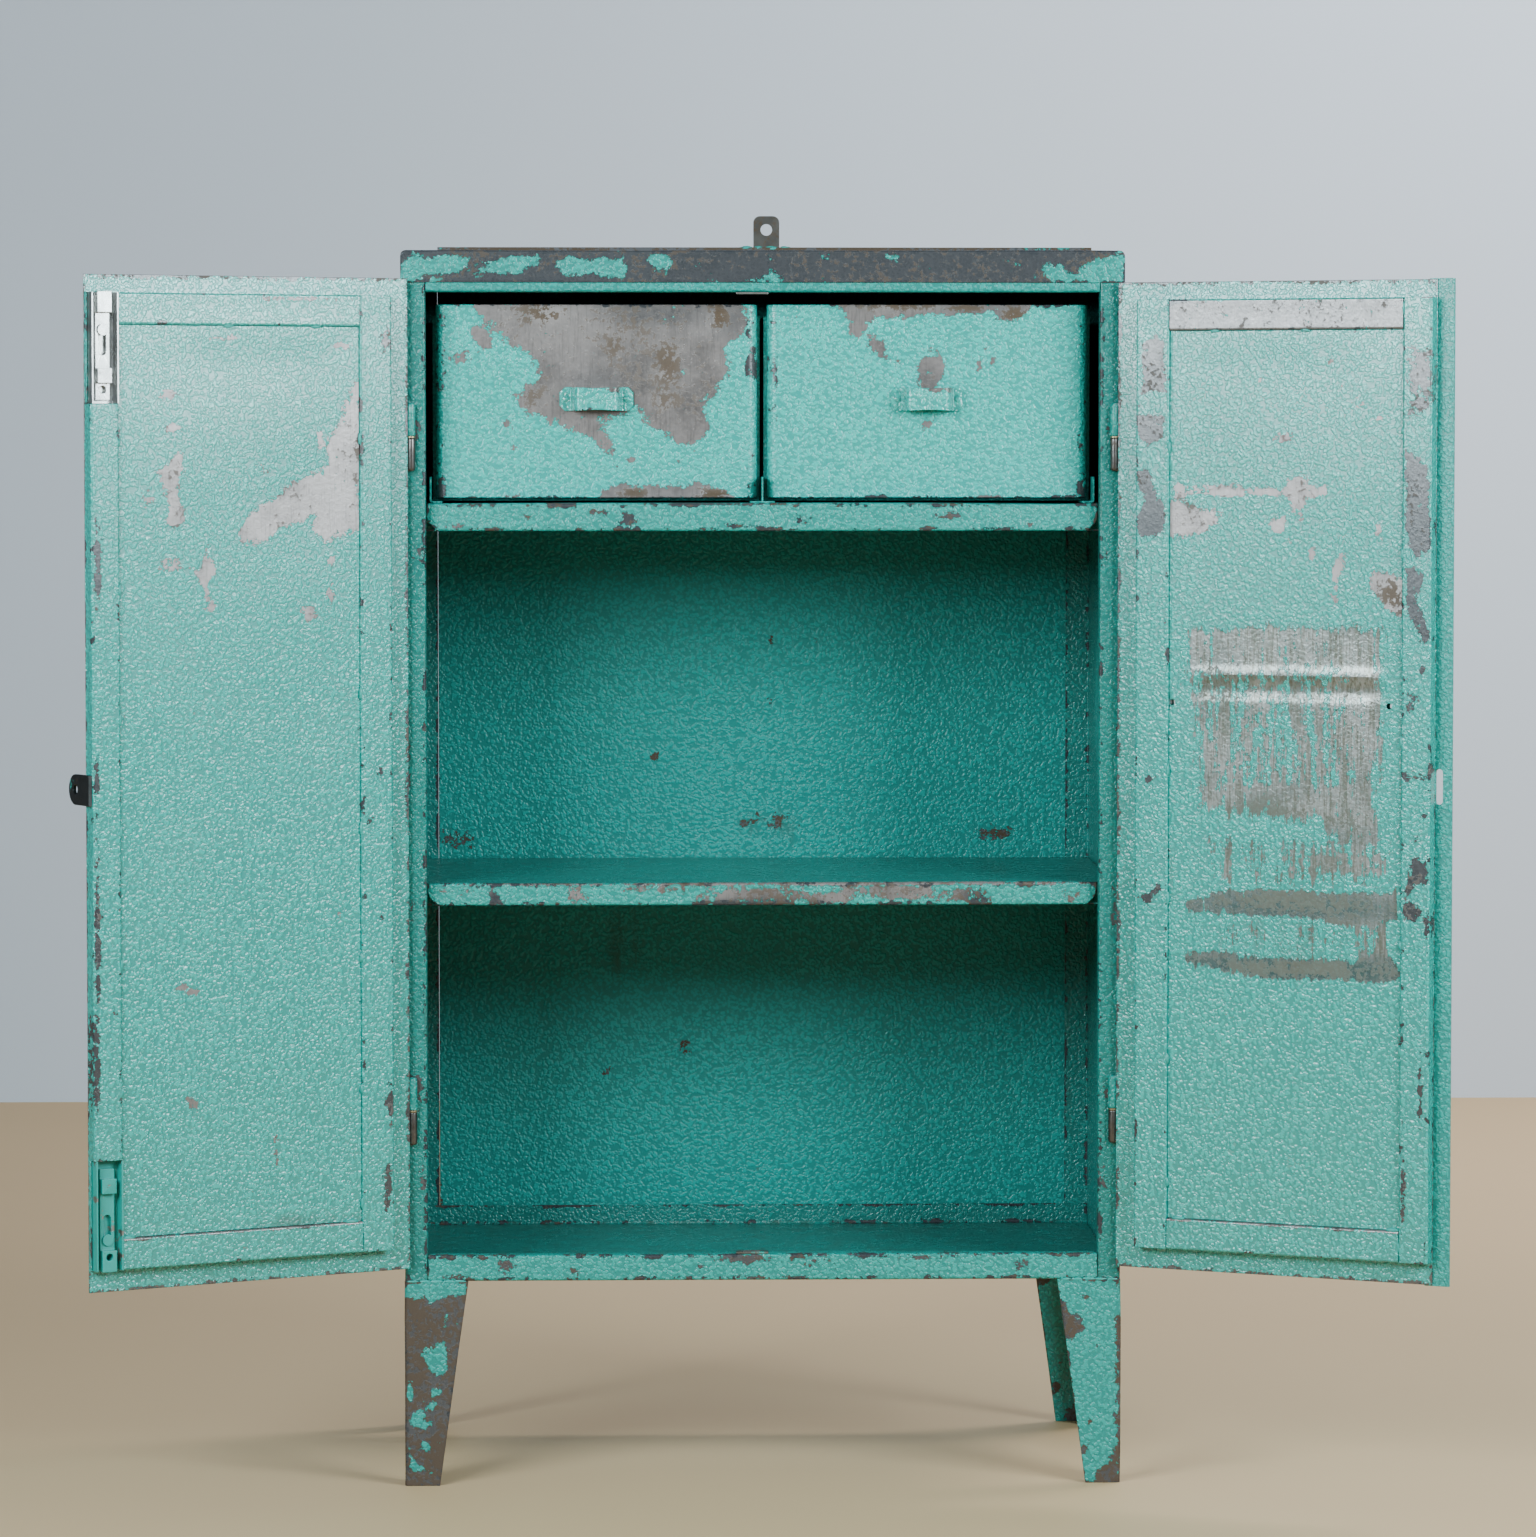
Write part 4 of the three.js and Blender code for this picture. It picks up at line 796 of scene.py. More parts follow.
def make_sides(shape):
    """Side wall, front jamb with its lip, and rear return, folded from one sheet."""
    for name, side in SIDES.items():
        low, high = low_high(f"{name}_side_panel")
        low, high = low - [CENTRE_X, FRONT_Y, 0], high - [CENTRE_X, FRONT_Y, 0]
        outer = max(abs(low[0]), abs(high[0]))
        opening = outer - JAMB_WIDTH
        front, rear = low[1], high[1]
        path = [
            (outer - REAR_RETURN, rear),
            (outer, rear),
            (outer, front),
            (opening, front),
            (opening, front + JAMB_LIP),
        ]
        sheet = Sheet(path, (low[2], high[2]), shape, seed=11 + side, flatness=0.8)
        points, faces = sheet.solid((0, 1, 2))
        if side < 0:
            points[:, 0] *= -1
            faces = faces[:, ::-1]

        def bare(p, side=side):
            jamb = (p[:, 1] < front + 0.004).astype(float)
            spots = patches(np.abs(p[:, 0]), p[:, 2], [
                (336, 1030, 8, 18, 0, 0.62), (338, 385, 9, 24, 0, 0.60), (330, 300, 6, 20, 0, 0.55),
                (345, 700, 4, 60, 0, 0.45), (333, 905, 7, 14, 0, 0.40), (341, 560, 5, 30, 0, 0.45),
            ])
            return spots * jamb

        wear = sheet_wear_and_shade(
            sheet, points, bare=bare, dark=lambda p: np.full(len(p), 0.75),
            grime=lambda p: np.where(np.abs(p[:, 0]) < opening + 0.003, 0.45, 0.12),
            # deep: painted shade on the jamb and on every face inside the case; only the outer side wall
            # stays lit.
            deep=lambda p: np.where((p[:, 1] < front + 0.02) | (np.abs(p[:, 0]) < outer - 0.0010), 0.62, 0.0),
        )
        build(
            f"{name}_side_sheet", case_points(points), faces, "case",
            enamel_of("case_enamel"), [f"{name}_side_panel"], wear,
        )


def make_back(shape):
    """One flat sheet that bows a little, with the inside of the case on its front face."""
    low, high = low_high("back_panel")
    low, high = low - [CENTRE_X, FRONT_Y, 0], high - [CENTRE_X, FRONT_Y, 0]
    path = [(low[0], low[1]), (high[0], low[1])]
    sheet = Sheet(path, (low[2], high[2]), shape, seed=21, thickness=-shape.sheet, flatness=0.5)
    points, faces = sheet.solid((0, 1, 2))

    def bare(p):
        x, z = p[:, 0], p[:, 2]
        return patches(x, z, [
            (18, 628, 34, 8, 0, 0.62), (12, 620, 40, 5, 0, 0.55), (-300, 608, 26, 14, 0, 0.45),
            (250, 612, 22, 10, 0, 0.50), (-100, 690, 6, 4, 0, 0.72), (18, 745, 5, 12, 0, 0.60),
            (20, 810, 4, 10, 0, 0.5), (-70, 392, 9, 12, 0, 0.55), (-150, 366, 7, 7, 0, 0.5),
            (0, 1212, 420, 16, 0, 1.2),
        ])

    def grime(p):
        x, z = p[:, 0], p[:, 2]
        stains = patches(x, z, [
            (-130, 505, 26, 70, 0, 0.62), (-95, 500, 12, 60, 0, 0.55), (-270, 470, 40, 50, 0, 0.30),
            (18, 620, 60, 26, 0, 0.55), (-290, 610, 40, 26, 0, 0.5), (260, 610, 40, 22, 0, 0.45),
            (10, 905, 50, 22, 0, 0.35),
        ])
        return stains

    wear = sheet_wear_and_shade(
        sheet, points, bare=bare, dark=lambda p: np.full(len(p), 0.8),
        rust=lambda p: np.full(len(p), 0.7), grime=grime,
    )
    # The back takes the darker inside enamel: painted shade inside the case.
    build(
        "back_sheet", case_points(points), faces, "case", enamel_of("shaded_inside_enamel"),
        ["back_panel"], wear,
    )


def lip_limits(y_front, low_z, half_open, half_all, chamfer):
    """Narrows a folded lip to the opening and cuts its lower corners off at a slant."""

    def squeeze(y, z, x):
        in_lip = np.clip((y_front + 0.010 - y) / 0.006, 0, 1)
        limit = half_open - np.clip(low_z + chamfer - z, 0, chamfer)
        scale = 1 - in_lip * (1 - limit / half_all)
        return [y, z, x * scale]

    return squeeze


def make_shelf_like(shape, node, name, kind, seed, chips):
    """Shelf folded down in front and behind, its front lip cut to the opening."""
    low, high = low_high(node)
    low, high = low - [CENTRE_X, FRONT_Y, 0], high - [CENTRE_X, FRONT_Y, 0]
    lip = high[2] - low[2]
    path = [
        (low[1] + LIP_RETURN, low[2]),
        (low[1], low[2]),
        (low[1], high[2]),
        (high[1], high[2]),
        (high[1], high[2] - lip / 2),
    ]
    squeeze = lip_limits(low[1], low[2], HALF_OPENING, high[0], LIP_CORNER)
    sheet = Sheet(path, (low[0], high[0]), shape, seed=seed, flatness=1.3, squeeze=squeeze)
    points, faces = sheet.solid((1, 2, 0))
    front, top = low[1], high[2]

    def edge_bare(p):
        x, y, z = p[:, 0], p[:, 1], p[:, 2]
        at_front = np.clip(1 - (y - front) / 0.006, 0, 1)
        ridge = np.exp(-(((z - top) / 0.0035) ** 2)) * at_front
        worn = ridge * patches(x, z, chips["ridge"])
        return np.maximum(worn, at_front * patches(x, z, chips["lip"]))

    wear = sheet_wear_and_shade(
        sheet, points, bare=edge_bare, dark=lambda p: patches(p[:, 0], p[:, 2], chips["dark"]) * 0.9 + 0.1,
        rust=lambda p: np.full(len(p), 0.35),
        grime=lambda p: np.where(p[:, 1] > front + 0.01, 0.45, 0.1),
        # deep: painted shade on the shelf top behind its front lip.
        deep=lambda p: np.where(p[:, 1] > front + 0.006, 0.75, 0.0),
    )
    build(name, case_points(points), faces, "case", enamel_of(kind), [node], wear)


def make_tray(shape):
    """Floor with its hollow front rail and a low rear upstand."""
    low, high = low_high("floor_tray")
    low, high = low - [CENTRE_X, FRONT_Y, 0], high - [CENTRE_X, FRONT_Y, 0]
    rail = low[2] + RAIL_HEIGHT
    floor = rail - FLOOR_SINK
    path = [
        (low[1] + RAIL_RETURN, low[2]),
        (low[1], low[2]),
        (low[1], rail),
        (low[1] + RAIL_DEPTH, rail),
        (low[1] + RAIL_DEPTH, floor),
        (high[1] - shape.sheet, floor),
        (high[1] - shape.sheet, floor + REAR_UPSTAND),
    ]

    def squeeze(y, z, x):
        in_rail = np.clip((low[1] + 0.0192 - y) / 0.0008, 0, 1)
        return [y, z, x * (1 - in_rail * (1 - (HALF_OPENING + SEAM) / high[0]))]

    sheet = Sheet(path, (low[0], high[0]), shape, seed=31, squeeze=squeeze)
    points, faces = sheet.solid((1, 2, 0))
    front = low[1]

    def bare(p):
        x, y, z = p[:, 0], p[:, 1], p[:, 2]
        at_front = np.clip(1 - (y - front) / 0.022, 0, 1)
        ridge = np.exp(-(((z - rail) / 0.003) ** 2)) * 0.55
        spots = patches(x, z, [
            (-15, 222, 44, 6, 0, 0.80), (-60, 214, 10, 5, 0, 0.7), (60, 216, 20, 7, 0, 0.62),
            (-250, 214, 12, 8, 0, 0.66), (-180, 210, 9, 6, 0, 0.60), (150, 222, 30, 4, 0, 0.62),
            (250, 216, 14, 8, 0, 0.6), (-300, 204, 22, 4, 0, 0.62), (0, 203, 40, 3, 0, 0.6),
        ])
        return np.maximum(ridge, spots) * at_front

    wear = sheet_wear_and_shade(
        sheet, points, bare=bare, dark=lambda p: np.full(len(p), 0.82), rust=lambda p: np.full(len(p), 0.3),
        grime=lambda p: np.where((p[:, 1] > front + 0.03) & (p[:, 2] < floor + 0.004), 0.55, 0.1),
        # deep: painted shade on the tray floor behind its front rail.
        deep=lambda p: np.where(p[:, 1] > front + 0.024, 0.80, 0.0),
    )
    build(
        "tray_sheet", case_points(points), faces, "case", enamel_of("case_enamel"),
        ["floor_tray"], wear,
    )


def make_legs(shape):
    """Each leg is an angle whose two arms narrow evenly from top to foot."""
    for fore, ahead in (("front", 1), ("rear", -1)):
        for name, side in SIDES.items():
            node = f"{fore}_{name}_leg"
            low, high = low_high(node)
            low, high = low - [CENTRE_X, FRONT_Y, 0], high - [CENTRE_X, FRONT_Y, 0]
            wide, narrow, tall = high[0] - low[0], LEG_FOOT_WIDTH, high[2] - low[2]
            outer_x = max(abs(low[0]), abs(high[0]))
            outer_y = low[1] if ahead > 0 else high[1]

            def taper(a, b, z, wide=wide, narrow=narrow, tall=tall):
                size = (narrow + (wide - narrow) * z / tall) / wide
                bow_in = 1 - 0.006 * np.sin(math.pi * z / tall)
                near_a = np.clip((a - 0.0028) / 0.02, 0, 1)
                near_b = np.clip((b - 0.0028) / 0.02, 0, 1)
                return [a * (1 - near_a * (1 - size * bow_in)), b * (1 - near_b * (1 - size * bow_in)), z]

            path = [(wide, 0.0), (0.0, 0.0), (0.0, wide)]
            sheet = Sheet(
                path, (0.0, tall), shape, thickness=LEG_SHEET, fold=LEG_FOLD, seed=41 + side, squeeze=taper
            )
            points, faces = sheet.solid((0, 1, 2))
            points = points * [-side, ahead, 1.0] + [side * outer_x, outer_y, 0.0]
            if side * ahead > 0:
                faces = faces[:, ::-1]
            stripped = node == "front_left_leg"

            def bare(p, stripped=stripped, outer_x=outer_x):
                inset = outer_x - np.abs(p[:, 0])
                z = p[:, 2]
                edge = np.exp(-((inset / 0.004) ** 2)) * np.clip(1.0 - z / 0.17, 0.25, 1)
                if stripped:
                    scraps = marks(inset, z, [
                        ([(-6, 205), (-6, 184), (18, 188), (26, 177), (35, 184), (66, 190),
                          (66, 205)], 1.0, 6),
                        ([(18, 135), (28, 131), (31, 143), (41, 143), (41, 124), (37, 105), (26, 109),
                          (15, 130)], 1.0, 8),
                        ([(4, 36), (9, 22), (28, 12), (4, 13)], 1.0, 7),
                    ], [
                        (31, 92, 5, 7, 0, 1.0), (27, 79, 5, 5, 0, 1.0), (12, 64, 8, 11, 0, 1.15),
                        (5, 90, 3, 8, 0, 0.9), (18, 39, 6, 4, 0, 1.0), (24, 60, 4, 4, 0, 0.9),
                    ])
                    return 1.0 - scraps
                spots = marks(inset, z, [
                    ([(66, 190), (51, 170), (43, 163), (36, 151), (47, 140), (55, 144), (60, 120)], 1.0, 8),
                    ([(-4, 165), (6, 165), (4, 90), (7, 26), (26, 10), (26, -4), (-4, -4)], 0.80, 9),
                ], [
                    (34, 180, 4, 4, 0, 1.0), (24, 136, 3, 3, 0, 1.0), (35, 34, 6, 8, 0, 0.9),
                    (15, 104, 2, 3, 0, 0.8), (30, 60, 4, 5, 0, 0.8),
                ])
                return np.maximum(edge * 0.62, spots)

            wear = sheet_wear_and_shade(
                sheet, points, bare=bare, dark=lambda p: np.full(len(p), 0.85),
                rust=lambda p: np.full(len(p), 0.6),
            )
            build(
                node + "_sheet", case_points(points), faces, "case", enamel_of("case_enamel"),
                [node], wear,
            )


def dress_case_nodes():
    """Finishes of the rails, angles, keepers and hanging tab, which keep their CAD shapes."""
    runners = ("left_runner", "centre_runner", "right_runner")
    # Rails, runners and shelf angles take the darker inside enamel: painted shade inside the case.
    for node in ("header_rail", *runners, "left_shelf_angle", "right_shelf_angle"):
        keep_node(node, enamel_of("shaded_inside_enamel"))
    keep_node("hanging_tab", steel_of("tab_steel"), 0.0006)
    for node in ("top_bolt_keeper", "bottom_bolt_keeper"):
        keep_node(node, steel_of("keeper_steel"))


# ---- Drawers ---------------------------------------------------------------------------------

DRAWER_WEAR = {
    "left": {
        "bare": (
            [
                ([(-125, 100), (-106, 74), (-91, 62), (-72, 52), (-57, 38), (-57, 16), (-78, 8), (-67, -11),
                  (-40, -22), (-26, -28), (0, -40), (18, -62), (11, -33), (1, -18), (37, -8), (57, -28),
                  (76, -40), (96, -45), (112, -26), (101, 1), (115, 6), (127, 28), (125, 52), (147, 79),
                  (141, 100)], 1.0, 14),
                ([(0, -100), (3, -88), (18, -80), (66, -83), (96, -79), (125, -84), (142, -100)], 1.0, 8),
            ],
            [
                (-111, 62, 6, 15, 28, 1.1), (-130, 42, 15, 4, 0, 1.0), (-84, -23, 5, 3, -40, 1.0),
                (-67, -52, 3, 3, 0, 0.9), (32, -58, 4, 5, 0, 1.0), (81, -59, 3, 3, 0, 0.9),
                (-80, -92, 12, 3, 0, 0.9), (-82, -44, 3, 2, 0, 0.8),
            ],
        ),
        "rust": ([], [
            (-50, 86, 30, 14, 0, 0.9), (120, 82, 12, 16, 0, 1.0), (69, 36, 16, 30, 0, 0.75),
            (18, 55, 12, 20, 0, 0.6), (67, 1, 16, 12, 0, 0.6), (37, -89, 16, 6, 0, 0.9),
            (115, -90, 22, 6, 0, 1.0), (-60, 5, 14, 16, 0, 0.45), (0, 70, 90, 26, 0, 0.35),
        ]),
        "grime": ([], [(-30, 30, 60, 40, 0, 0.3), (80, 20, 60, 40, 0, 0.3)]),
    },
    "right": {
        "bare": (
            [
                ([(-92, 100), (-75, 74), (-56, 77), (-46, 81), (-19, 79), (-7, 84), (32, 85), (61, 86),
                  (78, 77), (90, 77), (110, 100)], 1.0, 8),
                ([(-61, 67), (-51, 64), (-39, 50), (-36, 40), (-44, 39), (-58, 55)], 1.0, 8),
                ([(-10, 33), (-5, 43), (17, 38), (15, 21), (7, 11), (-10, 11)], 1.0, 7),
            ],
            [
                (-70, 68, 8, 10, -20, 1.0), (6, 48, 4, 6, 0, 0.9), (-30, 40, 3, 4, 0, 0.9),
                (52, 36, 3, 8, 0, 0.9), (62, 40, 3, 5, 0, 0.9), (57, 50, 3, 3, 0, 0.9),
                (0, -22, 4, 8, 0, 0.9), (72, 24, 2, 3, 0, 0.8), (60, -93, 20, 3, 0, 0.8),
                (-130, 80, 6, 3, 0, 0.7),
            ],
        ),
        "rust": ([], [(84, 84, 20, 10, 0, 1.0), (-27, 92, 50, 5, 0, 0.8), (36, 90, 30, 4, 0, 0.8)]),
        "grime": ([], [(-36, 26, 16, 3, 30, 0.55), (38, 12, 16, 4, 60, 0.5), (40, -4, 12, 3, 40, 0.5)]),
    },
}


def make_drawers(shape):
    """Front face with wide bends at its sides and narrow returns above and below, and a bow handle."""
    for name, side in SIDES.items():
        low, high = low_high(f"{name}_drawer_front")
        middle = (low + high) / 2
        lists = DRAWER_WEAR[name]
        path = [(high[0], high[1]), (high[0], low[1]), (low[0], low[1]), (low[0], high[1])]
        sheet = Sheet(path, (low[2], high[2]), shape, fold=DRAWER_BEND, seed=51 + side, flatness=1.2)
        points, faces = sheet.solid((0, 1, 2))

        def worn(key, lists=lists, middle=middle):
            return lambda p: marks(p[:, 0] - middle[0], p[:, 2] - middle[2], *lists[key])

        wear = sheet_wear_and_shade(
            sheet, points, bare=worn("bare"), rust=worn("rust"), grime=worn("grime"),
            dark=lambda p, middle=middle: patches(
                p[:, 0] - middle[0], p[:, 2] - middle[2],
                [(60, 84, 60, 12, 0, 0.5), (128, 76, 16, 16, 0, 0.5)],
            ),
        )
        body = f"{name}_drawer"
        build(
            f"{name}_drawer_face", points, faces, body, enamel_of("drawer_enamel"),
            [f"{name}_drawer_front"], wear,
        )
        for level, z in (("lower", low[2]), ("upper", high[2] - shape.sheet)):
            strip = Sheet(
                [(low[1] + 0.0018, z + shape.sheet), (high[1], z + shape.sheet)],
                (low[0] + 0.008, high[0] - 0.008), shape, seed=55, flatness=0.0,
            )
            points, faces = strip.solid((1, 2, 0))
            build(
                f"{name}_drawer_{level}_return", points, faces, body,
                enamel_of("drawer_enamel"), [], sheet_wear_and_shade(strip, points),
            )
        make_handle(shape, name)
        # The drawer box takes the darker inside enamel: painted shade inside the case.
        keep_node(f"{name}_drawer_box", enamel_of("shaded_inside_enamel"))


def make_handle(shape, name):
    """Bow handle: a strap bent out between two flat tabs whose corners are cut, with domed rivets."""
    low, high = low_high(f"{name}_drawer_handle")
    middle = (low + high) / 2
    half = (high[0] - low[0]) / 2
    foot, crown = high[1], low[1] + HANDLE_STRAP
    shoulder = half - HANDLE_TAB
    path = [
        (middle[0] - half, foot),
        (middle[0] - shoulder, foot),
        (middle[0] - shoulder + HANDLE_SLOPE, crown),
        (middle[0] + shoulder - HANDLE_SLOPE, crown),
        (middle[0] + shoulder, foot),
        (middle[0] + half, foot),
    ]

    def squeeze(x, y, z):
        reach = np.abs(x - middle[0])
        cut = np.clip(reach - (half - 0.005), 0, 0.005)
        tall = (high[2] - low[2]) / 2
        flat = 1 - 0.08 * np.clip((shoulder - reach) / 0.02, 0, 1)
        return [x, y, middle[2] + (z - middle[2]) * (tall - cut) / tall * flat]

    sheet = Sheet(
        path, (low[2], high[2]), shape, thickness=HANDLE_STRAP, fold=0.0034, seed=61, flatness=0.0,
        squeeze=squeeze,
    )
    points, faces = sheet.solid((0, 1, 2))
    wear = sheet_wear_and_shade(
        sheet, points,
        bare=lambda p: patches(p[:, 0] - middle[0], p[:, 2] - middle[2], [(12, 9, 18, 3, 0, 0.6)]),
    )
    body = f"{name}_drawer"
    build(
        f"{name}_bow_handle", points, faces, body, enamel_of("handle_enamel"),
        [f"{name}_drawer_handle"], wear,
    )
    spots = [
        ((middle[0] + s * (half - HANDLE_TAB / 2), foot - 0.0022, middle[2]), (0.006, 0.0026, 0.006))
        for s in (-1, 1)
    ]
    points, faces = beads(spots, 5)
    build_lists(f"{name}_handle_rivets", points, faces, body, enamel_of("handle_enamel"))


# ---- Leaves ----------------------------------------------------------------------------------


class Leaf:
    """A door in its own closed coordinates: s from the hinge edge, t from the outer face, z up."""

    def __init__(self, name):
        self.name = name
        self.side = SIDES[name]
        joint = JOINTS[f"{name}_door_hinge"]
        self.axis = np.array(joint["pos_m"][:2]) - [CENTRE_X, FRONT_Y]
        self.open = -math.radians(joint["range_deg"][0])
        self.edge = abs(self.axis[0]) - LEAF_EDGE_FROM_PIN
        self.front = -LEAF_PROUD
        self.top = low_high(f"{name}_door_skin")[1][2]
        self.bottom = low_high(f"{name}_door_skin")[0][2]
        self.width = self.edge + LEAF_PAST_MIDDLE[name]
        self.pan_low, self.pan_high = (c[2] for c in low_high(f"{name}_door_hinge_stile"))
        self.body = f"{name}_door"

    def place(self, points):
        """Turns closed coordinates about the hinge line to where the leaf stands open."""
        x = self.edge - points[:, 0] - abs(self.axis[0])
        y = self.front + points[:, 1] - self.axis[1]
        cos, sin = math.cos(self.open), math.sin(self.open)
        out = np.empty_like(points)
        out[:, 0] = self.side * (x * cos - y * sin + abs(self.axis[0])) + CENTRE_X
        out[:, 1] = x * sin + y * cos + self.axis[1] + FRONT_Y
        out[:, 2] = points[:, 2]
        return out

    def add(self, name, sheet, order, nodes, wear, enamel="leaf_enamel", slot="door_paint"):
        local, faces = sheet.solid(order)
        points = self.place(local)
        maps = sheet_wear_and_shade(sheet, local, **wear)
        build(
            f"{self.name}_{name}", points, outward(points, faces), self.body, enamel_of(enamel),
            nodes, maps,
        )


LEAF_WEAR = {
    "left": {
        "bare": (
            [
                ([(56, 1085), (64, 1070), (73, 1051), (79, 1036), (90, 1022), (95, 1005), (92, 991),
                  (127, 977), (159, 958), (180, 937), (185, 921), (165, 919), (143, 932), (106, 946),
                  (106, 927), (90, 922), (56, 931)], 1.0, 12),
                ([(245, 1008), (274, 985), (261, 966), (258, 947), (266, 935), (250, 935), (243, 947),
                  (251, 975), (245, 989)], 1.0, 9),
                ([(222, 918), (212, 899), (217, 880), (213, 857), (219, 857), (224, 876), (235, 893),
                  (225, 899)], 1.0, 8),
            ],
            [
                (253, 1029, 14, 4, 0, 0.9), (260, 1060, 12, 6, 0, 0.9), (203, 1114, 18, 4, 0, 0.9),
                (76, 1108, 16, 4, 0, 0.85), (100, 1017, 3, 9, 0, 0.9), (90, 869, 4, 10, 0, 0.9),
                (111, 851, 12, 7, 30, 1.0), (240, 496, 18, 4, 25, 0.8), (237, 387, 13, 7, 40, 0.85),
                (88, 902, 5, 6, 0, 0.8), (255, 900, 20, 4, 0, 0.8), (280, 962, 12, 8, 0, 0.8),
                (110, 1015, 3, 5, 0, 0.8), (160, 990, 8, 4, 30, 0.8), (150, 340, 3, 20, 0, 0.7),
                (84, 560, 3, 14, 0, 0.6),
            ],
        ),
        "rust": ([], [(90, 274, 30, 8, 0, 0.8), (62, 300, 8, 40, 0, 0.6), (61, 1010, 3, 40, 0, 0.5)]),
        "dark": ([], [(90, 274, 30, 8, 0, 0.6)]),
        "grime": ([], [(61, 980, 6, 120, 0, 0.5), (120, 270, 120, 9, 0, 0.6), (305, 340, 6, 90, 0, 0.5)]),
        "streak": ([], []),
    },
    "right": {
        "bare": (
            [
                ([(55, 960), (72, 960), (90, 951), (113, 947), (103, 934), (87, 926), (55, 926)], 1.0, 9),
                ([(61, 975), (176, 971), (181, 984), (199, 984), (202, 972), (220, 974), (220, 965),
                  (197, 963), (192, 941), (184, 951), (179, 963), (64, 964)], 1.0, 7),
                ([(263, 895), (283, 892), (298, 885), (298, 852), (283, 854), (265, 875)], 1.0, 10),
            ],
            [
                (176, 1020, 12, 6, 10, 1.0), (169, 936, 8, 9, 20, 1.0), (205, 908, 3, 8, -10, 0.9),
                (230, 894, 5, 16, -10, 0.9), (228, 870, 6, 10, 0, 0.8), (255, 951, 4, 3, 0, 0.9),
                (270, 932, 4, 6, 0, 0.9), (222, 1092, 2, 9, -20, 0.8), (234, 1070, 2, 9, -40, 0.8),
                (252, 1051, 12, 2, -35, 0.8), (274, 1037, 9, 3, -25, 0.9), (150, 1075, 4, 3, 0, 0.7),
            ],
        ),
        "rust": ([], [
            (180, 655, 120, 20, 0, 0.7), (180, 578, 120, 14, 0, 0.9), (190, 512, 120, 12, 0, 0.9),
            (240, 640, 50, 30, 0, 0.7), (285, 870, 16, 18, 0, 0.9), (240, 550, 40, 60, 0, 0.5),
            (190, 600, 90, 30, 0, 0.6),
        ]),
        "dark": ([], [(180, 572, 150, 18, 0, 0.9), (190, 512, 150, 16, 0, 1.2),
        (190, 640, 120, 14, 0, 0.45)]),
        "grime": ([], [
            (190, 545, 110, 60, 0, 0.55), (180, 690, 110, 120, 0, 0.30), (60, 600, 6, 60, 0, 0.5),
            (295, 700, 6, 260, 0, 0.5), (200, 470, 90, 50, 0, 0.35),
        ]),
        "streak": (
            [
                ([(75, 835), (152, 843), (258, 844), (278, 833), (273, 785), (279, 738), (276, 695),
                  (258, 676), (203, 650), (86, 659), (83, 734), (70, 782)], 0.60, 18),
                ([(76, 834), (150, 840), (275, 838), (272, 798), (76, 790)], 0.80, 12),
                ([(232, 842), (276, 834), (272, 700), (240, 700)], 0.82, 14),
                ([(86, 745), (130, 745), (150, 690), (86, 672)], 0.72, 14),
                ([(90, 690), (276, 695), (262, 662), (180, 655), (90, 662)], 0.84, 12),
                ([(200, 664), (268, 676), (282, 631), (244, 626)], 0.84, 12),
                ([(101, 636), (284, 636), (284, 592), (101, 592)], 0.42, 12),
                ([(196, 628), (284, 628), (284, 600), (196, 600)], 0.66, 10),
                ([(71, 570), (96, 581), (153, 588), (244, 586), (290, 590), (292, 565), (255, 551),
                  (199, 561), (86, 563)], 1.0, 7),
                ([(71, 521), (107, 527), (153, 521), (255, 523), (275, 540), (290, 519), (302, 510),
                  (285, 502), (143, 502), (84, 512)], 1.0, 7),
                ([(246, 560), (282, 560), (282, 520), (246, 520)], 0.60, 10),
                ([(110, 555), (240, 555), (240, 530), (110, 530)], 0.36, 10),
            ],
            [],
        ),
    },
}
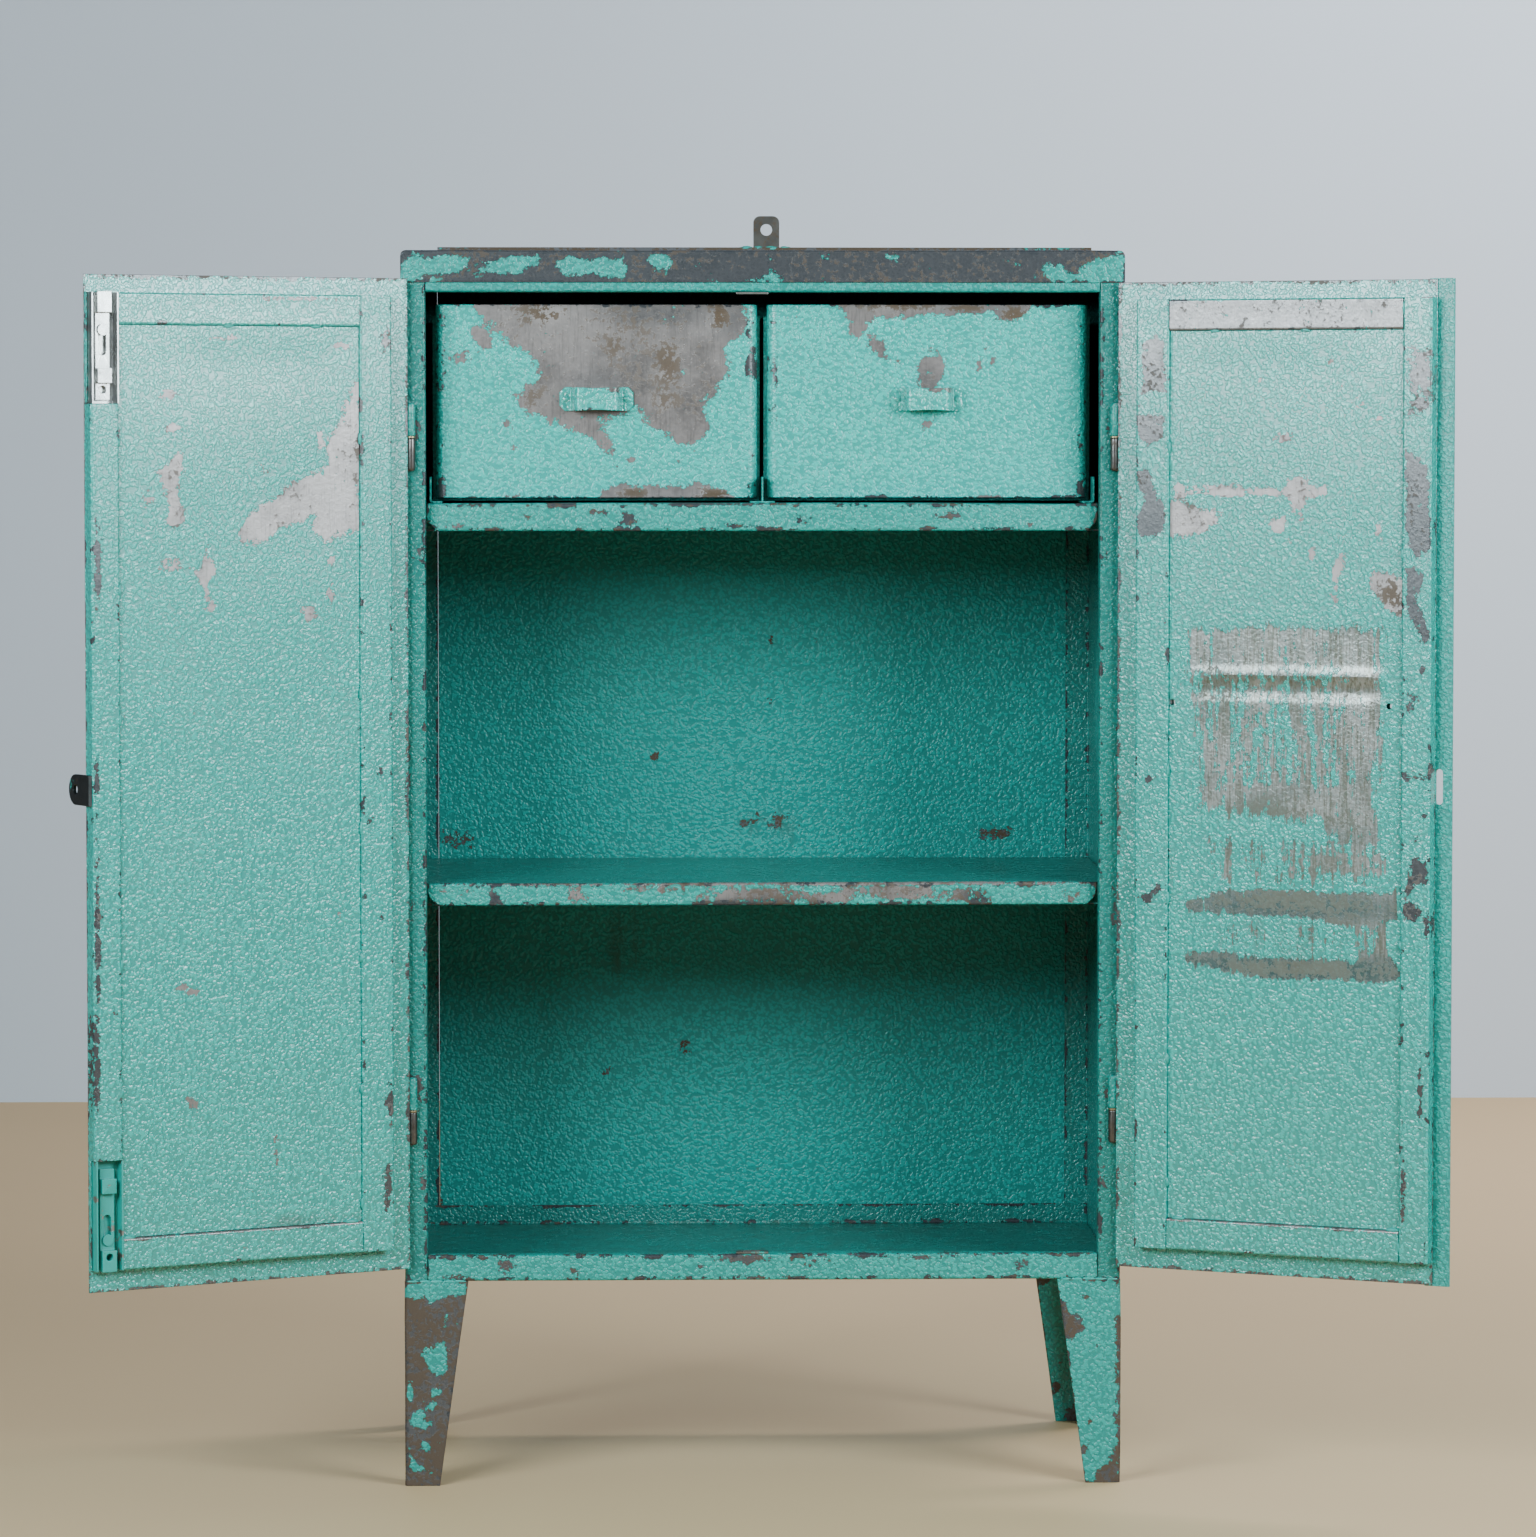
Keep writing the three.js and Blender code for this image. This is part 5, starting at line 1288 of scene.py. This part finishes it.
STILE_WEAR = {
    "left": ([], [
        (316, 1110, 6, 16, 0, 0.66), (334, 900, 5, 60, 0, 0.70), (336, 700, 4, 40, 0, 0.65),
        (336, 560, 4, 90, 0, 0.72), (338, 430, 5, 60, 0, 0.76), (30, 1115, 8, 20, 0, 0.5),
        (40, 700, 4, 10, 0, 0.76), (36, 560, 4, 8, 0, 0.6), (28, 380, 6, 26, 0, 0.76),
        (32, 300, 6, 30, 0, 0.7), (58, 1050, 3, 9, 0, 1.0), (58, 1010, 3, 8, 0, 1.0),
        (50, 650, 5, 4, 0, 0.8), (320, 480, 5, 5, 0, 0.7),
    ]),
    "right": (
        [
            ([(31, 1113), (54, 1116), (54, 1065), (29, 1061)], 1.0, 7),
            ([(23, 1041), (54, 1041), (54, 1020), (34, 1013), (26, 1022)], 1.0, 6),
            ([(24, 988), (37, 988), (42, 974), (54, 955), (54, 926), (29, 926), (24, 935),
              (34, 957)], 1.0, 6),
            ([(303, 1107), (325, 1102), (325, 1046), (303, 1041), (299, 1070)], 0.80, 12),
            ([(298, 1010), (321, 992), (324, 914), (308, 905), (299, 923)], 1.0, 8),
            ([(298, 899), (319, 892), (311, 871), (325, 830), (318, 826), (303, 850), (300, 872)], 0.95, 6),
            ([(305, 622), (320, 618), (323, 601), (310, 594), (299, 580), (321, 575), (311, 560),
              (298, 566)], 1.0, 6),
        ],
        [
            (300, 700, 6, 5, 0, 0.9), (315, 699, 9, 5, 0, 0.9), (324, 704, 3, 9, 0, 0.9),
            (318, 660, 4, 6, 0, 0.8), (310, 640, 5, 5, 0, 0.8), (322, 560, 5, 20, 0, 0.8),
            (40, 690, 6, 6, 0, 0.8), (36, 575, 10, 6, 0, 0.95), (48, 586, 6, 4, 0, 0.9),
            (58, 812, 3, 8, 0, 1.0), (36, 870, 3, 10, 0, 0.7), (316, 400, 4, 40, 0, 0.65),
            (300, 300, 4, 40, 0, 0.7), (306, 770, 6, 12, 0, 0.7), (316, 800, 5, 9, 0, 0.8),
        ],
    ),
}


def make_leaf(shape, name):
    """Skin, two stiles, two strips and the sunk inner panel of one door."""
    leaf = Leaf(name)
    wide, deep, sheet = leaf.width, LEAF_DEPTH, shape.sheet
    clear = sheet + SEAM
    lock_stile = (wide - LOCK_STILE_WIDTH, wide)
    wear = LEAF_WEAR[name]

    def spots(key):
        return lambda p: marks(p[:, 0], p[:, 2], *wear[key])

    def rim(p):
        up_down = np.minimum(p[:, 2] - leaf.bottom, leaf.top - p[:, 2])
        near = np.minimum(up_down, np.minimum(p[:, 0], wide - p[:, 0]))
        return np.exp(-((near / 0.004) ** 2)) * 0.58

    holes = []
    if name == "right":
        for s in (HOLE_FROM_HINGE_EDGE, wide - HOLE_FROM_FREE_EDGE):
            holes.append((s, leaf.bottom + HOLE_RISE, HOLE_RADIUS))
    skin = Sheet(
        [(0.0, 0.0), (wide, 0.0)], (leaf.bottom, leaf.top), shape,
        seed=71 + leaf.side, thickness=-sheet, flatness=0.7, holes=holes,
    )
    leaf.add("leaf_skin", skin, (0, 1, 2), [f"{name}_door_skin"], {
        "bare": rim, "dark": lambda p: np.full(len(p), 0.8), "grime": lambda p: rim(p) * 0.6,
        "rust": lambda p: np.full(len(p), 0.3),
    })

    def stile(s0, s1, z0, z1, seed):
        path = [(s0, clear), (s0, deep), (s1, deep), (s1, clear)]
        return Sheet(path, (z0, z1), shape, fold=0.0021, seed=seed, flatness=0.8)

    stile_wear = {
        "bare": lambda p: marks(p[:, 0], p[:, 2], *STILE_WEAR[name]),
        # Dark steel in the stiles' worn patches fades towards the top: the fade is painted highlight where
        # the upper stiles catch the softbox light.
        "dark": lambda p: np.clip(0.95 - (p[:, 2] - 0.95) * 2.0, 0.50, 0.95),
        "rust": lambda p: np.full(len(p), 0.05),
        "grime": lambda p: patches(
            p[:, 0], p[:, 2], [(58, 700, 3, 460, 0, 0.4), (wide - 29, 700, 3, 460, 0, 0.4)]
        ),
    }
    low, high = leaf.pan_low, leaf.pan_high
    leaf.add(
        "hinge_stile_sheet", stile(*HINGE_STILE, low, high, 81), (0, 1, 2), [f"{name}_door_hinge_stile"],
        stile_wear,
    )
    recess, seed = (0.0, 83) if name == "right" else (BOLT_RECESS, 85)
    leaf.add(
        "lock_stile_sheet", stile(*lock_stile, low + recess, high - recess, seed), (0, 1, 2),
        [f"{name}_door_lock_stile"], stile_wear,
    )
    if recess:
        wall_height = recess - 0.0002
        for level, z0, z1 in (("upper", high - wall_height, high), ("lower", low, low + wall_height)):
            wall = Sheet([(wide, 0.0060), (wide, clear)], (z0, z1), shape, seed=87, flatness=0.0)
            leaf.add(f"{level}_edge_wall", wall, (0, 1, 2), [], {"bare": lambda p: np.full(len(p), 0.3)})

    s0, s1 = HINGE_STILE[1] + SEAM, lock_stile[0] - SEAM
    for level, z0, z1 in (("top", high - STRIP_HEIGHT, high), ("bottom", low, low + STRIP_HEIGHT)):
        path = [(clear, z1), (deep, z1), (deep, z0), (clear, z0)]
        band = Sheet(path, (s0, s1), shape, fold=0.0021, seed=91, flatness=0.7)

        def band_bare(p, level=level, z1=z1):
            if level == "bottom":
                ridge = np.exp(-(((p[:, 2] - z1) / 0.003) ** 2))
                return ridge * 0.75
            if name == "left":
                return np.clip(patches(p[:, 0], p[:, 2], [(120, z1 * 1000 - 4, 60, 3, 0, 0.5)]), 0, 1)
            return np.where((p[:, 2] < z1 - 0.0015) & (p[:, 1] > deep - 0.003), 0.86, 0.2)

        leaf.add(f"{level}_strip_sheet", band, (1, 2, 0), [f"{name}_door_{level}_strip"], {
            "bare": band_bare,
            "dark": lambda p, level=level: np.full(len(p), 0.25 if level == "bottom" else 0.42),
            "rust": lambda p: np.full(len(p), 0.0),
        }, enamel="leaf_enamel" if level == "bottom" or name == "left" else "strip_enamel")

    face = deep - PANEL_SINK
    panel_low, panel_high = low + STRIP_HEIGHT + SEAM, high - STRIP_HEIGHT - SEAM

    def creased(s, t, z):
        """Old dent: a ridge and a shallower groove under it, each a bell curve in z, faded out in s."""
        ridge = 0.0022 * np.exp(-(((z - 0.792) / 0.004) ** 2))
        groove = 0.0016 * np.exp(-(((z - 0.778) / 0.007) ** 2))
        fade = np.clip((s - 0.075) / 0.02, 0, 1) * np.clip((0.285 - s) / 0.02, 0, 1)
        return [s, t + (ridge - groove) * fade, z]

    panel = Sheet(
        [(s0, face), (s1, face)], (panel_low, panel_high), shape, seed=101 + leaf.side, flatness=0.8,
        squeeze=creased if name == "right" else None, holes=holes,
    )
    leaf.add("inner_panel_sheet", panel, (0, 1, 2), [f"{name}_door_inner_panel"], {
        "bare": spots("bare"), "rust": spots("rust"), "dark": spots("dark"), "grime": spots("grime"),
        "streak": spots("streak"), "edge": 0.5,
    })
    make_leaf_welds(leaf, lock_stile[0])


def make_leaf_welds(leaf, lock_seam):
    """Short tack welds where the stiles, strips and inner panel meet."""
    deep = LEAF_DEPTH
    heights = {
        "left": (
            [1018, 775, 645, 520, 393, 283],
            [1015, 877, 755, 650, 524, 404],
        ),
        "right": (
            [1010, 700, 576, 420, 300],
            [1142, 1026, 910, 815, 732, 645, 538, 437, 335, 250],
        ),
    }[leaf.name]
    random = np.random.default_rng(7)
    size = bpy.context.scene.cabinet_shape.bead
    spots = []
    for s, levels in zip((HINGE_STILE[1], lock_seam), heights):
        for z in levels:
            long = size * random.uniform(0.7, 1.3)
            spots.append(((s, deep - 0.0016, z / 1000), (0.0038, 0.0036, long)))
    for s in (0.104, 0.196):
        spots.append(((s, deep - 0.0020, leaf.pan_high - 0.0305), (size, 0.0036, 0.0034)))
    for s in (0.07, leaf.width - 0.036):
        spots.append(((s, deep - 0.0020, leaf.pan_low + 0.0305), (size * 1.4, 0.0044, 0.0040)))
    points, faces = beads(spots, 9)
    points = leaf.place(points)
    piece = build_lists(
        f"{leaf.name}_leaf_welds", points, faces, leaf.body, steel_of("weld_enamel")
    )
    fix_outward(piece)


def fix_outward(piece):
    """Recalculates the normals of a closed piece, or of several closed beads, to face outward."""
    mesh = bmesh.new()
    mesh.from_mesh(piece.data)
    bmesh.ops.recalc_face_normals(mesh, faces=mesh.faces)
    mesh.to_mesh(piece.data)
    mesh.free()


def make_hinges():
    """Each hinge: painted upper barrel with a rounded end and a bore, loose washer, bare post and pin."""
    for name in SIDES:
        for level in ("upper", "lower"):
            low, high = low_high(f"{name}_door_{level}_barrel")
            cx, cy = ((low + high) / 2)[:2]
            radius = (high[0] - low[0]) / 2
            z0, z1 = low[2], high[2]
            bore_top = low_high(f"{name}_{level}_hinge_post")[1][2] + 0.0005
            profile = [
                (BORE_RADIUS, bore_top), (BORE_RADIUS, z0), (radius - 0.0006, z0),
                (radius - 0.0001, z0 + 0.0004), (radius, z0 + 0.001), (radius, z1 - 0.003),
                (radius - 0.0004, z1 - 0.0012), (radius - 0.0014, z1 - 0.0004), (radius - 0.003, z1),
            ]
            add_turned(
                f"{name}_{level}_barrel_turned", cx, cy, profile, f"{name}_door",
                enamel_of("case_enamel"), [f"{name}_door_{level}_barrel"],
            )
            low, high = low_high(f"{name}_{level}_hinge_post")
            z0 = low[2]
            z1 = low_high(f"{name}_{level}_hinge_washer")[0][2] - 0.0003
            profile = [
                (radius - 0.003, z0), (radius - 0.0014, z0 + 0.0004), (radius - 0.0004, z0 + 0.0012),
                (radius, z0 + 0.003),
                (radius, z1 - 0.001), (radius - 0.0001, z1 - 0.0004), (radius - 0.0006, z1),
                (PIN_RADIUS, z1 + 0.00005),
                (PIN_RADIUS + 0.00002, high[2] - 0.0006), (PIN_RADIUS - 0.0006, high[2]),
            ]
            add_turned(
                f"{name}_{level}_post_turned", cx, cy, profile, "case", steel_of("hinge_steel"),
                [f"{name}_{level}_hinge_post"],
            )
            keep_node(f"{name}_{level}_hinge_washer", steel_of("washer_metal"), 0.0002)


def add_turned(name, cx, cy, profile, body, material, nodes):
    """Adds a turned piece that stands in for CAD nodes."""
    points, quads, low, high = turned(cx, cy, profile)
    faces = quads.tolist() + low.tolist() + high.tolist()
    piece = build_lists(name, points, faces, body, material)
    fix_outward(piece)
    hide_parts(*nodes)


def dress_leaf_fittings():
    """Finishes of the edge strip, bolts and staple, which keep their CAD shapes."""
    keep_node("right_door_edge_strip", enamel_of("edge_strip_enamel"), 0.0005)
    for level, kind in (("top", "bolt_steel"), ("bottom", "painted_bolt_steel")):
        for half in ("body", "slide"):
            keep_node(f"left_door_{level}_bolt_{half}", steel_of(kind), 0.0005)
    keep_node("left_door_padlock_staple", steel_of("staple_steel"), 0.0008)


def make_case_welds():
    """Weld beads where the legs and the hanging tab join the case."""
    spots = []
    back = low_high("back_panel")
    tab = low_high("hanging_tab")
    for dx, size in ((-0.020, 0.016), (-0.008, 0.010), (0.006, 0.014), (0.019, 0.012)):
        x = (tab[0][0] + tab[1][0]) / 2 + dx
        spots.append(((x, back[1][1] + 0.0006, back[1][2] - 0.0010), (size, 0.0044, 0.0046)))
    for name in SIDES:
        low, high = low_high(f"front_{name}_leg")
        for k in range(5):
            x = low[0] + 0.008 + k * (high[0] - low[0] - 0.016) / 4
            spots.append(((x, low[1] + 0.0012, high[2]), (0.012, 0.0030, 0.0034)))
    points, faces = beads(spots, 13)
    build_lists("case_welds", points, faces, "case", steel_of("weld_enamel"))


# ---- Stage -----------------------------------------------------------------------------------


def make_stage():
    """Pale floor, pale wall far behind, four soft lights and the camera."""
    scene = bpy.context.scene

    def plane(name, corners, material):
        mesh = bpy.data.meshes.new(name)
        mesh.from_pydata(corners, [], [(0, 1, 2, 3)])
        mesh.materials.append(material)
        piece = bpy.data.objects.new(name, mesh)
        scene.collection.objects.link(piece)

    floor = plain_stage("floor_finish", (0.54, 0.375, 0.205), 0.62)
    wall = plain_stage("wall_finish", (0.58, 0.65, 0.74), 0.9)
    wall_y = FRONT_Y + 3.52
    plane("stage_floor", [(-7, -9, 0), (7, -9, 0), (7, wall_y, 0), (-7, wall_y, 0)], floor)
    plane("stage_wall", [(-7, wall_y, -0.2), (7, wall_y, -0.2), (7, wall_y, 6), (-7, wall_y, 6)], wall)

    world = bpy.data.worlds.new("stage_air")
    world.use_nodes = True
    background = world.node_tree.nodes["Background"]
    background.inputs["Color"].default_value = (0.72, 0.82, 0.95, 1.0)
    background.inputs["Strength"].default_value = 0.14
    scene.world = world

    def lamp(name, place, aim, size, power, colour=(1.0, 1.0, 1.0)):
        data = bpy.data.lights.new(name, "AREA")
        data.shape = "RECTANGLE"
        data.size, data.size_y = size
        data.energy = power
        data.color = colour
        light = bpy.data.objects.new(name, data)
        light.location = place
        light.rotation_euler = (Vector(aim) - Vector(place)).to_track_quat("-Z", "Y").to_euler()
        scene.collection.objects.link(light)

    middle = (CENTRE_X, FRONT_Y, 0.80)
    lamp("left_softbox", (-1.60, -2.28, 1.66), middle, (1.3, 1.0), 108.0, (0.80, 0.95, 1.0))
    lamp("right_softbox", (1.84, -2.00, 1.66), middle, (1.3, 1.0), 108.0, (0.80, 0.95, 1.0))
    lamp("front_fill", (0.2, -5.2, 2.8), middle, (2.4, 1.6), 8.0, (1.0, 0.99, 0.97))
    lamp("wall_wash", (2.7, 1.6, 3.4), (2.6, wall_y, 1.1), (2.5, 0.8), 205.0, (0.97, 0.98, 1.0))

    camera_data = bpy.data.cameras.new("view_camera")
    camera_data.sensor_width = 36.0
    camera_data.lens = 146.6
    camera_data.clip_end = 100.0
    camera = bpy.data.objects.new("view_camera", camera_data)
    camera.location = (CENTRE_X - 0.1777, FRONT_Y - 6.0543, 1.0248)
    yaw, pitch = 0.0301, 0.0537
    ahead = Vector((math.sin(yaw) * math.cos(pitch), math.cos(yaw) * math.cos(pitch), -math.sin(pitch)))
    camera.rotation_euler = ahead.to_track_quat("-Z", "Y").to_euler()
    scene.collection.objects.link(camera)
    scene.camera = camera


# ---- Operators -------------------------------------------------------------------------------


class MakeCase(bpy.types.Operator):
    """Cap, side walls and back of the case"""

    bl_idname = "cabinet.case"
    bl_label = "Case"

    def execute(self, context):
        shape = context.scene.cabinet_shape
        make_cap(shape)
        make_sides(shape)
        make_back(shape)
        dress_case_nodes()
        make_case_welds()
        return {"FINISHED"}


class MakeShelves(bpy.types.Operator):
    """Floor tray, shelf and drawer deck"""

    bl_idname = "cabinet.shelves"
    bl_label = "Shelves"

    def execute(self, context):
        shape = context.scene.cabinet_shape
        make_tray(shape)
        make_shelf_like(shape, "middle_shelf", "shelf_sheet", "case_enamel", 33, {
            "ridge": [(60, 587, 330, 12, 0, 1.0), (-200, 587, 120, 12, 0, 0.8)],
            "lip": [
                (-10, 576, 60, 9, 0, 0.86), (60, 572, 44, 7, 0, 0.80), (130, 578, 60, 8, 0, 0.85),
                (190, 574, 22, 10, 0, 0.85), (210, 570, 12, 12, 0, 0.9), (-260, 572, 8, 12, 0, 0.85),
                (-180, 574, 12, 12, 0, 0.62), (-100, 580, 60, 6, 0, 0.60), (300, 572, 14, 10, 0, 0.6),
                (-300, 578, 20, 6, 0, 0.55), (0, 567, 60, 4, 0, 0.72),
            ],
            "dark": [(0, 567, 60, 6, 0, 1.0), (210, 570, 20, 14, 0, 1.0), (-260, 572, 12, 14, 0, 1.0)],
        })
        make_shelf_like(shape, "drawer_deck", "deck_sheet", "case_enamel", 35, {
            "ridge": [(-40, 956, 100, 10, 0, 0.8), (170, 956, 60, 10, 0, 0.6)],
            "lip": [
                (-160, 946, 16, 6, 0, 0.85), (-130, 940, 8, 8, 0, 0.8), (-230, 942, 6, 5, 0, 0.7),
                (40, 940, 9, 6, 0, 0.75), (180, 944, 18, 4, 0, 0.75), (260, 936, 8, 5, 0, 0.7),
                (-20, 934, 30, 4, 0, 0.6), (-300, 934, 20, 4, 0, 0.55),
            ],
            "dark": [(0, 942, 340, 30, 0, 1.0)],
        })
        return {"FINISHED"}


class MakeLegs(bpy.types.Operator):
    """Four tapered legs of folded angle"""

    bl_idname = "cabinet.legs"
    bl_label = "Legs"

    def execute(self, context):
        make_legs(context.scene.cabinet_shape)
        return {"FINISHED"}


class MakeDrawers(bpy.types.Operator):
    """Drawer faces and bow handles"""

    bl_idname = "cabinet.drawers"
    bl_label = "Drawers"

    def execute(self, context):
        make_drawers(context.scene.cabinet_shape)
        return {"FINISHED"}


class MakeLeaves(bpy.types.Operator):
    """Both doors with their stiles, strips, panels, bolts and staple"""

    bl_idname = "cabinet.leaves"
    bl_label = "Leaves"

    def execute(self, context):
        shape = context.scene.cabinet_shape
        make_leaf(shape, "left")
        make_leaf(shape, "right")
        dress_leaf_fittings()
        return {"FINISHED"}


class MakeHinges(bpy.types.Operator):
    """Lift-off hinges with washers"""

    bl_idname = "cabinet.hinges"
    bl_label = "Hinges"

    def execute(self, context):
        make_hinges()
        return {"FINISHED"}


class MakeStage(bpy.types.Operator):
    """Floor, wall, lights and camera"""

    bl_idname = "cabinet.stage"
    bl_label = "Stage"

    def execute(self, context):
        make_stage()
        return {"FINISHED"}


class CABINET_PT_panel(bpy.types.Panel):
    """Lists the cabinet's settings and pieces"""

    bl_label = "Cabinet"
    bl_idname = "CABINET_PT_panel"
    bl_space_type = "VIEW_3D"
    bl_region_type = "UI"
    bl_category = "Cabinet"

    def draw(self, context):
        for group in (context.scene.cabinet_shape, context.scene.cabinet_finish):
            for name in group.__annotations__:
                self.layout.prop(group, name)
        for operator in OPERATORS:
            self.layout.operator(operator.bl_idname)


OPERATORS = (MakeStage, MakeCase, MakeShelves, MakeLegs, MakeDrawers, MakeLeaves, MakeHinges)
CLASSES = (CabinetShape, CabinetFinish, *OPERATORS, CABINET_PT_panel)


def register():
    for cls in CLASSES:
        bpy.utils.register_class(cls)
    bpy.types.Scene.cabinet_shape = bpy.props.PointerProperty(type=CabinetShape)
    bpy.types.Scene.cabinet_finish = bpy.props.PointerProperty(type=CabinetFinish)


def unregister():
    del bpy.types.Scene.cabinet_shape
    del bpy.types.Scene.cabinet_finish
    for cls in reversed(CLASSES):
        bpy.utils.unregister_class(cls)


def main():
    register()
    bpy.ops.cabinet.stage()
    bpy.ops.cabinet.case()
    bpy.ops.cabinet.shelves()
    bpy.ops.cabinet.legs()
    bpy.ops.cabinet.drawers()
    bpy.ops.cabinet.leaves()
    bpy.ops.cabinet.hinges()


if __name__ == "__main__":
    main()
